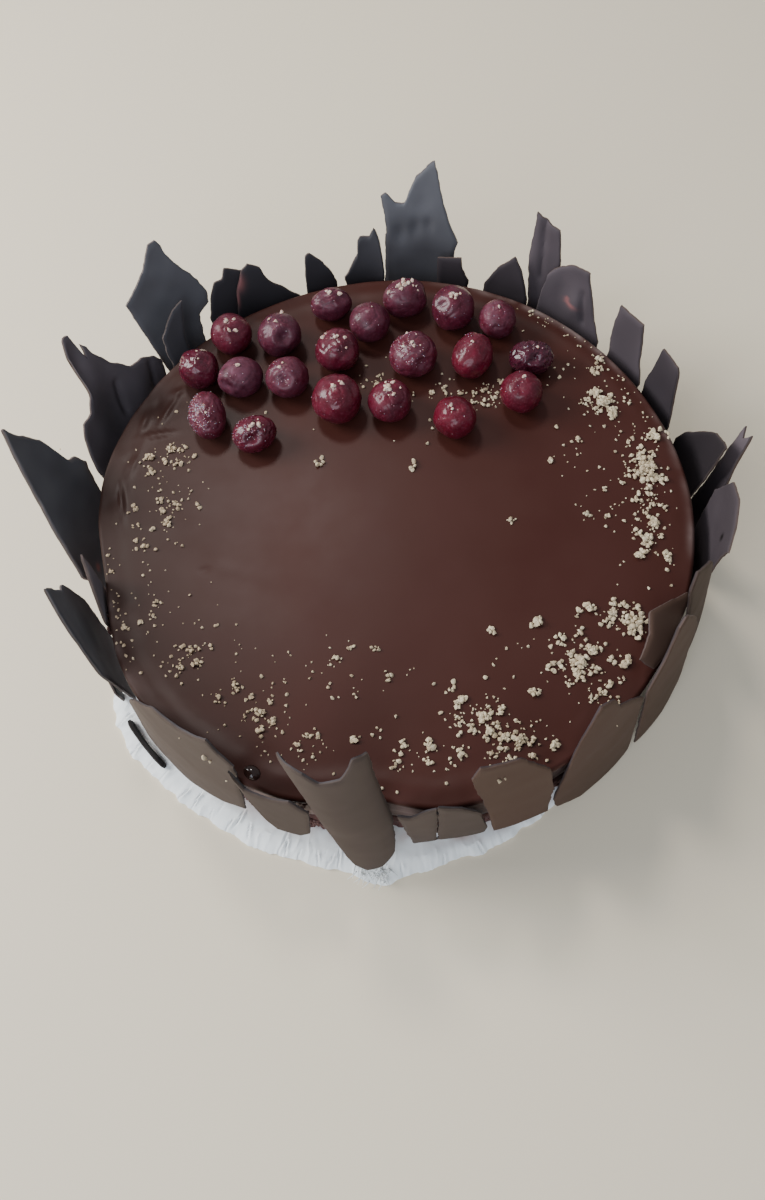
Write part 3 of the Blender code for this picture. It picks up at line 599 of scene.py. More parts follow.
def makePaper():
    # thin paper that rises in creases to its edge and is turned down there; long creases and cracks follow
    # the lines where noise is zero, drawn out along the radius, and facets are noise folded at its middle
    azimuth = np.arange(paper["steps"]) * 360.0 / paper["steps"]
    outX, outY = outward(azimuth)
    reach = np.interp(azimuth, [a for a, r in paper["edge"]], [r for a, r in paper["edge"]], period=360)
    torn = 1.2 * cloudNoise(stack3(outX * 20.0, outY * 20.0, 0.0), 5, 51)
    reach = reach - 0.8 + torn
    share = np.concatenate([np.linspace(0.0, 0.96, paper["rings"]), [0.985, 1.0]])[:, None]
    radius = paper["inner"] + (reach - paper["inner"]) * share
    x, y = radius * outX, radius * outY
    skew = 0.10 * cloudNoise(stack3(x / 14.0, y / 14.0, 2.0), 2, 57)
    spread = 24.0 + skew * 20.0
    fold = np.abs(cloudNoise(stack3(outX * spread, outY * spread, radius / 60.0), 2, 53))
    facet = np.abs(latticeNoise(stack3(x / 6.5, y / 6.5, 4.0), 55))
    facet = facet + 0.45 * np.abs(latticeNoise(stack3(x / 2.8, y / 2.8, 7.0), 56))
    crack = np.abs(cloudNoise(stack3(outX * 15.0 + skew, outY * 15.0 + skew, radius / 22.0), 2, 58))
    broken = latticeNoise(stack3(outX * 11.0, outY * 11.0, radius / 9.0), 60)
    crack = crack + 0.6 * np.clip(0.15 - broken, 0.0, 1.0)
    ridge = np.clip(1.0 - 1.7 * fold, 0.0, 1.0)
    opened = np.clip((radius - paper["openFrom"]) / paper["openOver"], 0.0, 1.0)
    short, line = shortCreases(azimuth, radius, 0.5 * latticeNoise(stack3(x / 3.0, y / 3.0, 20.0), 62))
    # painted shade along the folds, cracks and short creases
    creaseShade = 0.1 * np.exp(-fold / 0.03) + 0.25 * np.exp(-crack / 0.03) + line
    lift = 1.2 + short + 0.25 * ridge ** 2 + 0.35 * facet
    lift = lift - 0.2 * np.exp(-crack / 0.05) + 0.1 * np.exp(-fold / 0.04)
    turnDown = np.clip((share - 0.80) / 0.20, 0.0, 1.0) ** 2
    edge = 0.35 + 0.5 * ridge + 0.5 * facet
    top = (cake["paperThick"] + opened * lift) * (1.0 - turnDown) + edge * turnDown
    under = np.zeros((2, len(azimuth)))
    height = np.concatenate([np.maximum(top, 0.2), under])
    radius = np.concatenate([radius, np.stack([reach - 0.2, reach * 0.0 + paper["inner"]])])
    stain = np.clip(1.0 - (radius - rimRadius(azimuth) - 1.0) / 5.0, 0.0, 1.0)
    stain = stain * (0.35 + 0.5 * cloudNoise(stack3(radius * outX / 6.0, radius * outY / 6.0, 0.0), 3, 59))
    layers = {"stain": np.clip(stain, 0.0, 0.7),
              "crease": np.vstack([np.clip(creaseShade * opened, 0.0, 1.0), under])}
    turnedPiece("paperLiner", radius, height, azimuth, paperMaterial(), nodes=("paper_liner",),
                slotName="white_paper", layers=layers, sharpDegrees=14.0)
    print("paper made")


# A tuft of torn paper fibres under the roll: where its roots are, how far they spread, and each fibre's size
fringe = dict(
    azimuth=350.0, radius=131.0, spreadAlong=3.6, spreadOut=2.0, count=60,
    shortest=2.5, longest=5.5, width=0.7, points=7, sides=3,
)


def makeFringe():
    # each fibre is a three-sided tube along a bent path; its width shrinks to a blunt tip
    draw = np.random.default_rng(47)
    many, rows, sides = fringe["count"], fringe["points"], fringe["sides"]
    azimuth = fringe["azimuth"] + draw.normal(0.0, fringe["spreadAlong"] / 2.4, many)
    outX, outY = outward(azimuth)
    radius = fringe["radius"] + draw.normal(0.0, fringe["spreadOut"], many)
    root = stack3(radius * outX, radius * outY, draw.uniform(2.0, 4.6, many))
    heading = np.radians(azimuth) - 0.5 * np.pi + draw.normal(0.0, 0.75, many)
    ahead = stack3(np.cos(heading), np.sin(heading), draw.uniform(-0.05, 0.25, many))
    sideways = stack3(-np.sin(heading), np.cos(heading), 0.0 * heading)
    bend = sideways * draw.normal(0.0, 0.25, (many, 1))
    length = draw.uniform(fringe["shortest"], fringe["longest"], (many, 1, 1))
    t = np.linspace(0.0, 1.0, rows)[None, :, None]
    path = root[:, None] + length * (t * ahead[:, None] + t ** 2 * bend[:, None])
    path[..., 2] = np.maximum(path[..., 2], 0.45)
    turn = np.arange(sides)[None, None, :, None] * 2.0 * np.pi / sides
    width = 0.5 * fringe["width"] * (1.0 - 0.8 * t)[..., None]
    upward = np.array([0.0, 0.0, 1.0])
    tube = path[:, :, None] + width * (sideways[:, None, None] * np.cos(turn) + upward * np.sin(turn))
    first = (np.arange(many) * rows * sides)[:, None, None]
    walls = (gridFaces(rows, sides, wrap=True)[None] + first).reshape(-1, 4)
    lastRing = (rows - 1) * sides
    caps = (np.array([[2, 1, 0], [lastRing, lastRing + 1, lastRing + 2]])[None] + first).reshape(-1, 3)
    points = tube.reshape(-1, 3)
    makePiece("paperFringe", points, [walls, caps], paperMaterial(), slotName="white_paper",
              layers={"stain": np.zeros(len(points)), "crease": np.zeros(len(points))})
    print("fringe made")


# Cherries: x, y, width across, width front to back, height, turn, then how rosy, frosted and wet from 0 to 1,
# wrinkle depth in mm, and the dimple's azimuth, elevation and depth in mm
cherries = (
    (-56.5, 92.0, 18.0, 17.5, 17.0, 0, 0.75, 0.30, 0.3, 0.35, 40, 50, 0.8),
    (-35.8, 88.4, 19.0, 18.5, 17.5, 20, 0.15, 0.45, 0.4, 0.35, 20, 42, 2.8),
    (-71.0, 76.0, 17.0, 17.0, 16.5, 0, 0.45, 0.10, 0.9, 0.50, 60, 60, 1.0),
    (-53.8, 69.0, 19.0, 16.8, 16.0, 10, 0.10, 0.75, 0.1, 0.25, 320, 20, 1.2),
    (-34.0, 65.5, 18.0, 17.6, 17.0, 40, 0.40, 0.50, 0.3, 0.40, 350, 45, 1.8),
    (-68.5, 51.5, 15.4, 21.0, 16.0, 5, 0.65, 0.55, 0.5, 0.60, 180, 10, 0.5),
    (-49.5, 40.0, 18.6, 14.6, 14.5, 12, 0.60, 0.15, 0.8, 0.75, 0, 40, 1.6),
    (-11.9, 76.0, 19.0, 18.4, 17.5, 0, 0.65, 0.15, 0.8, 0.50, 30, 40, 0.9),
    (-12.2, 102.4, 18.2, 14.0, 14.5, 0, 0.20, 0.40, 0.3, 0.40, 60, 50, 0.9),
    (3.5, 89.2, 17.6, 17.0, 16.5, 0, 0.25, 0.40, 0.4, 0.35, 90, 25, 1.0),
    (20.0, 99.8, 19.6, 15.6, 16.5, 0, 0.25, 0.40, 0.4, 0.40, 90, 10, 0.9),
    (39.6, 90.6, 18.6, 19.0, 18.0, 0, 0.35, 0.20, 0.6, 0.35, 300, 50, 0.8),
    (19.6, 68.6, 20.4, 19.6, 18.0, 15, 0.55, 0.50, 0.7, 0.80, 20, 25, 1.6),
    (57.6, 82.4, 16.0, 16.4, 16.0, 0, 0.45, 0.65, 0.2, 0.40, 150, 20, 0.6),
    (44.2, 64.8, 17.0, 20.4, 17.0, -35, 1.00, 0.20, 0.6, 0.35, 150, 30, 0.8),
    (61.0, 43.6, 17.4, 17.2, 16.5, 0, 0.90, 0.15, 0.5, 0.35, 330, 70, 0.9),
    (68.0, 60.6, 18.6, 14.4, 14.5, -10, 0.00, 0.00, 1.0, 0.90, 0, 50, 1.4),
    (32.3, 35.0, 17.4, 17.6, 17.0, 0, 1.00, 0.08, 0.7, 0.25, 0, 80, 0.7),
    (7.2, 47.0, 18.0, 17.8, 17.0, 25, 0.80, 0.25, 0.5, 0.45, 30, 35, 0.8),
    (-14.5, 51.0, 20.6, 20.8, 18.5, 0, 0.85, 0.15, 0.7, 0.45, 90, 45, 0.9),
)


cherryMesh = dict(rings=56, steps=84, footShare=0.44)      # the foot's depth as a share of the height


def cherrySurface(index, theta, phi):
    # an ellipsoid, pressed flat below; its radius is swelled by slow noise and cut by a bell-shaped dimple
    # and by wrinkles, which lie where noise is near zero
    x, y, wide, deep, high, turn = cherries[index][:6]
    frosted, wrinkle, dimpleAt, dimpleUp, dimpleDeep = cherries[index][7], *cherries[index][9:]
    direction = stack3(np.sin(theta) * np.cos(phi), np.sin(theta) * np.sin(phi), np.cos(theta))
    dimpleX, dimpleY = outward(dimpleAt - turn)
    level = math.cos(math.radians(dimpleUp))
    dimple = np.array([dimpleX * level, dimpleY * level, math.sin(math.radians(dimpleUp))])
    apart = np.arccos(np.clip(direction @ dimple, -1.0, 1.0))
    size = (wide + deep + high) / 6.0
    slow = 0.055 * size * latticeNoise(direction * 1.6 + index * 7.0, 61)
    folds = np.clip(1.0 - np.abs(cloudNoise(direction * 2.0 + index * 5.0, 2, 63)) * 3.4, 0.0, 1.0)
    creases = -0.7 * wrinkle * folds ** 1.5
    pits = 0.10 * wrinkle * cloudNoise(direction * 8.0 + index * 3.0, 2, 65)
    hole = dimpleDeep * (0.18 * bell((apart - 0.50) / 0.16) - bell(apart / 0.26))
    grow = 1.0 + (slow + creases + pits + hole) / size
    localX, localY = 0.5 * wide * direction[..., 0] * grow, 0.5 * deep * direction[..., 1] * grow
    foot = cherryMesh["footShare"] * high
    localZ = np.maximum(0.5 * high * direction[..., 2] * grow, -foot)
    angle = math.radians(turn)
    base = float(glazeHeight(x, y)) + cake["gap"]
    points = stack3(x + localX * math.cos(angle) - localY * math.sin(angle),
                    y + localX * math.sin(angle) + localY * math.cos(angle), base + foot + localZ)
    # the frost is patchy and lies in the dimple; it is thickest on top and at the left, toward the light,
    # where it is partly a painted sheen
    facing = 0.45 + 0.55 * (0.75 * direction[..., 2] - 0.35 * np.cos(phi))
    patchy = 0.75 + 0.7 * cloudNoise(direction * 3.5 + index * 2.0, 4, 67)
    film = frosted * (facing * patchy - 0.25 * hole / dimpleDeep)
    return points, np.clip(0.75 * film, 0.0, 0.9)


def makeCherries():
    theta, phi = ballAngles(cherryMesh["rings"], cherryMesh["steps"])
    for index, cherry in enumerate(cherries):
        grid, film = cherrySurface(index, theta, phi)
        number = "%02d" % (index + 1)
        closedPiece("cherry" + number, grid, cherryMaterial("cherrySkin" + number, cherry[6], cherry[8]),
                    nodes=("cherry_" + number,), slotName="cherry_skin", layers={"frost": film})
    print("cherries made")


# Small lumps: nuts, frost crystals and crumbs

def ballMesh(subdivisions):
    # a round ball of triangles with radius 1
    work = bmesh.new()
    bmesh.ops.create_icosphere(work, subdivisions=subdivisions, radius=1.0)
    points = np.array([vertex.co[:] for vertex in work.verts])
    faces = np.array([[vertex.index for vertex in face.verts] for face in work.faces])
    work.free()
    return points, faces


def turnMatrices(draw, count):
    # random turns, from unit quaternions
    quaternions = draw.normal(size=(count, 4))
    w, x, y, z = (quaternions / np.linalg.norm(quaternions, axis=1, keepdims=True)).T
    return np.stack([
        np.stack([1 - 2 * (y * y + z * z), 2 * (x * y - w * z), 2 * (x * z + w * y)], axis=-1),
        np.stack([2 * (x * y + w * z), 1 - 2 * (x * x + z * z), 2 * (y * z - w * x)], axis=-1),
        np.stack([2 * (x * z - w * y), 2 * (y * z + w * x), 1 - 2 * (x * x + y * y)], axis=-1)], axis=1)


def makeLumps(name, centres, sizes, subdivisions, material, slotName, seed, roughness=0.28, flatten=0.75,
              tone=None, facets=0):
    # each lump is a ball, stretched, roughened by noise, cut flat on some sides, turned at random and set at
    # its centre; a flat side takes back what stands out past a plane
    draw = np.random.default_rng(seed)
    ball, faces = ballMesh(subdivisions)
    count = len(centres)
    stretch = draw.uniform(0.72, 1.18, size=(count, 1, 3))
    place = ball[None] * 1.7 + draw.uniform(-50, 50, size=(count, 1, 3))
    shape = ball[None] * stretch * (1.0 + roughness * cloudNoise(place, 3, seed))[..., None]
    for _ in range(facets):
        side = draw.normal(size=(count, 3))
        side = side / np.linalg.norm(side, axis=1, keepdims=True)
        past = np.einsum("nki,ni->nk", shape, side) - draw.uniform(0.35, 0.8, size=(count, 1))
        shape = shape - np.maximum(past, 0.0)[..., None] * side[:, None]
    shape = np.einsum("nij,nkj->nki", turnMatrices(draw, count), shape)
    shape[..., 2] *= flatten
    points = shape * (0.5 * np.asarray(sizes))[:, None, None] + np.asarray(centres)[:, None]
    allFaces = faces[None] + (np.arange(count) * len(ball))[:, None, None]
    makePiece(name, points.reshape(-1, 3), [allFaces.reshape(-1, 3)], material, slotName=slotName,
              layers=None if tone is None else {"tone": np.repeat(tone, len(ball))},
              sharpDegrees=32.0 if facets else None)


nuts = dict(
    # x, y, spread along x, spread along y, how many, largest size
    patches=(
        (-88, 38, 8, 7, 7, 4.2), (-85, 14, 5, 9, 5, 4.0), (-100, 10, 6, 16, 4, 3.2),
        (-81, -54, 6, 6, 5, 4.0), (-64, -67, 6, 4, 3, 3.6), (-55, -78, 6, 4, 4, 4.0),
        (-40, -92, 12, 5, 4, 3.4), (-96, -30, 8, 14, 4, 3.0), (22, -88, 7, 6, 9, 4.4),
        (34, -98, 9, 5, 7, 4.4), (0, -100, 9, 5, 4, 4.0), (62, -70, 9, 8, 11, 5.0),
        (82, -58, 5, 5, 6, 5.6), (70, -84, 8, 6, 4, 3.6), (104, 5, 5, 9, 10, 5.0),
        (101, -18, 5, 9, 7, 4.2), (95, 37, 5, 8, 7, 4.4), (96, 56, 3, 3, 2, 5.0), (34, 56, 9, 5, 4, 3.8),
        (50, 50, 7, 6, 6, 4.2), (5, 62, 5, 3, 3, 3.6), (84, -8, 9, 14, 4, 2.8), (75, 20, 12, 12, 3, 2.8),
        (-30, -62, 20, 8, 3, 2.8),
    ),
    singles=((13, 20, 4.4), (-25, 27, 4.6), (48, -11, 3.2), (33, -56, 3.2), (-7, -70, 3.4), (113.0, 19, 7.0)),
    tries=40, finePerPiece=5, fineSizes=(0.5, 1.5), swell=1.22, facets=7,
    # dense heaps: x, y, width
    heaps=(
        (85, -62, 9.5), (69, -69, 4.6), (63, -72, 5.8), (61, -76, 3.8), (78, -55, 5.2), (79, -75, 5.2),
        (50, -55, 5.2), (44, -82, 4.6), (24, -89, 4.5), (36, -99, 5.6), (48, -102, 4.4), (4, -97, 5.3),
        (71, -52, 5.2), (95, 38, 7.5), (93, 44, 5.0), (97, 33, 5.0), (105, 4, 9.6), (104, 9, 5.5),
        (107, 0, 5.5), (98, -27, 5.6), (102, -19, 5.0), (94, -33, 4.0), (104, -35, 4.2), (18, -81, 3.8),
        (26, -94, 4.5), (31, -97, 3.8),
    ),
    # arcs of loose dust: azimuth from, to, radius from, to, how many
    dust=((228, 330, 72, 113, 90), (318, 400, 66, 112, 90), (62, 128, 88, 115, 70), (130, 228, 20, 110, 24),
          (98, 150, 112.5, 117.5, 55), (264, 300, 109, 117.5, 40)),
)


def clearOfCherries(x, y, size):
    # true where a piece stands apart from every cherry
    return all(math.hypot(x - cherry[0], y - cherry[1]) >= 0.5 * max(cherry[2], cherry[3]) + 0.55 * size + 0.5
               for cherry in cherries)


def placeNuts():
    # the same draw as the solids: in each patch larger pieces first, apart from each other and the cherries
    chance = random.Random(11)
    placed = list(nuts["singles"])
    for centreX, centreY, spreadX, spreadY, count, largest in nuts["patches"]:
        for index in range(count):
            size = largest * (1.0 - 0.5 * index / count)
            for _ in range(nuts["tries"]):
                x = centreX + chance.gauss(0.0, spreadX * 0.6)
                y = centreY + chance.gauss(0.0, spreadY * 0.6)
                apart = all(math.hypot(x - other[0], y - other[1]) >= 0.62 * (size + other[2]) + 0.3
                            for other in placed)
                inside = math.hypot(x, y) < rimRadius(azimuthOf(x, y)) - 0.55 * size - 2.2
                if clearOfCherries(x, y, size) and apart and inside:
                    placed.append((x, y, size))
                    break
    return placed


def knotOfGrains(draw, x, y, size):
    # a nut piece: grains drawn over an uneven disc, higher in the middle; rows of x, y, z and grain size
    many = int(3 + 0.75 * size ** 1.5)
    angle = draw.uniform(0.0, 2.0 * np.pi, many)
    uneven = 0.55 + 0.75 * np.abs(np.cos(angle - angle[0]))
    reach = 0.50 * size * np.sqrt(draw.uniform(0.0, 1.0, many)) * uneven
    grain = draw.uniform(0.7, 1.75, many) * (0.75 + 0.09 * size)
    raised = size * np.clip(1.0 - reach / (0.6 * size), 0.0, 1.0) * draw.uniform(0.0, 0.30, many)
    return onGlaze(x + reach * np.cos(angle), y + reach * np.sin(angle), grain, raised)


def heapOfGrains(draw, x, y, width):
    # a low dome of grains, uneven round its middle
    many = int(1.1 * width ** 1.75)
    angle = draw.uniform(0.0, 2.0 * np.pi, many)
    uneven = 0.8 + 0.35 * np.cos(2.0 * angle + x)
    reach = 0.5 * width * draw.uniform(0.0, 1.0, many) ** 0.6 * uneven
    grain = draw.uniform(0.9, 2.1, many)
    dome = np.sqrt(np.clip(1.0 - (2.0 * reach / width) ** 2, 0.0, 1.0))
    raised = width * dome * draw.uniform(0.0, 0.24, many)
    return onGlaze(x + reach * np.cos(angle), y + reach * np.sin(angle), grain, raised)


def onGlaze(x, y, grain, raised=0.0):
    # grains sunk a little into the glaze
    return np.stack([x, y, glazeRelief(x, y) + 0.25 * grain + raised, grain], axis=1)


def fineCrumbs(draw):
    # fine crumbs lie round the pieces and in loose arcs, most of them small, none over the rim or in a cherry
    places = []
    for centreX, centreY, spreadX, spreadY, count, largest in nuts["patches"]:
        many = count * nuts["finePerPiece"]
        x = draw.normal(centreX, spreadX * 0.75, many)
        places.append(np.stack([x, draw.normal(centreY, spreadY * 0.75, many)]))
    for start, end, inner, outer, many in nuts["dust"]:
        azimuth = draw.uniform(start, end, many)
        places.append(draw.uniform(inner, outer, many) * np.stack(outward(azimuth)))
    x, y = np.concatenate(places, axis=1)
    low, high = nuts["fineSizes"]
    sizes = low + (high - low) * draw.uniform(0.0, 1.0, len(x)) ** 2.2
    keep = np.hypot(x, y) < rimRadius(azimuthOf(x, y)) - 1.5
    for cherry in cherries:
        keep &= np.hypot(x - cherry[0], y - cherry[1]) > 0.5 * max(cherry[2], cherry[3]) - 0.5
    return onGlaze(x[keep], y[keep], sizes[keep])


def makeNuts():
    # knots of grains, dense heaps and fine crumbs, all as one piece
    draw = np.random.default_rng(23)
    grains = [knotOfGrains(draw, *piece) for piece in placeNuts()]
    grains += [heapOfGrains(draw, *heap) for heap in nuts["heaps"]]
    grains = np.vstack(grains + [fineCrumbs(draw)])
    leftward = np.clip(-grains[:, 0] / 70.0, 0.0, 1.0)      # the ones on the left are duller
    tone = np.clip(draw.uniform(0.0, 1.0, len(grains)) ** 2 * 0.8 + 0.7 * leftward, 0.0, 1.0)
    makeLumps("choppedNuts", grains[:, :3], nuts["swell"] * grains[:, 3], 2, nutMaterial(), "chocolate_glaze",
              71, roughness=0.35, tone=tone, facets=nuts["facets"])
    print("nuts made:", len(grains), "grains")


# Frost and crumbs on the cherries: cherry number, frost crystals, nut crumbs on top
cherryTopping = (
    (1, 8, 9), (2, 10, 3), (3, 6, 2), (4, 10, 1), (5, 30, 2), (6, 260, 2), (7, 110, 6), (8, 16, 7), (9, 6, 3),
    (10, 14, 1), (11, 10, 16), (12, 30, 9), (13, 110, 6), (14, 12, 1), (15, 14, 2), (16, 14, 2), (17, 4, 1),
    (18, 6, 2), (19, 20, 18), (20, 16, 6),
)


def makeCherryTopping():
    # grains sit on the cherries' own surfaces, the crystals most on the upper left
    draw = np.random.default_rng(37)
    frost, frostSizes, crumbs, crumbSizes = [], [], [], []
    for number, crystalCount, crumbCount in cherryTopping:
        theta = np.abs(draw.normal(0.75, 0.38, crystalCount))
        frost.append(cherrySurface(number - 1, theta, draw.normal(3.6, 1.0, crystalCount))[0])
        frostSizes.append(draw.uniform(0.25, 0.6, crystalCount))
        theta = np.abs(draw.normal(0.0, 0.34, crumbCount))
        crumbs.append(cherrySurface(number - 1, theta, draw.uniform(0.0, 2.0 * np.pi, crumbCount))[0])
        crumbSizes.append(draw.uniform(0.8, 2.6, crumbCount))
    makeLumps("frostCrystals", np.vstack(frost), np.concatenate(frostSizes), 1, frostMaterial(),
              "cherry_skin", 73)
    makeLumps("cherryCrumbs", np.vstack(crumbs) + np.array([0.0, 0.0, 0.2]), np.concatenate(crumbSizes), 2,
              toppingMaterial(), "cherry_skin", 75, roughness=0.35, facets=nuts["facets"])
    print("frost and crumbs on the cherries made")


# Loose crumbs on the open side: azimuth from, to, height from, to, how many, largest size, how far out
sideCrumbs = (
    (336, 343, 3, 16, 90, 1.9, 0.0), (336, 342, 30, 48, 26, 1.4, 0.0), (357, 372, 3, 14, 50, 1.5, 0.0),
    (318, 334, 2, 10, 60, 1.6, 0.0), (20, 30, 3, 14, 24, 1.4, 0.0), (40, 46, 2, 10, 16, 1.3, 0.0),
    (262, 300, 3, 14, 60, 1.6, 0.0), (283, 288, 46, 52, 16, 2.2, 2.0),
)


def makeSideCrumbs():
    # crumbs strewn over stretches of the side
    draw = np.random.default_rng(43)
    centres, sizes = [], []
    for start, end, low, high, many, largest, apart in sideCrumbs:
        azimuth = draw.uniform(start, end, many)
        height = draw.uniform(low, high, many)
        size = largest * draw.uniform(0.35, 1.0, many)
        radius = rimRadius(azimuth % 360.0) - 1.0 + 0.25 * size + apart
        outX, outY = outward(azimuth)
        centres.append(stack3(radius * outX, radius * outY, height))
        sizes.append(size)
    makeLumps("cakeCrumbs", np.vstack(centres), np.concatenate(sizes), 2, crumbMaterial(),
              "cherry_soaked_sponge", 77, flatten=0.9)
    print("crumbs on the side made")


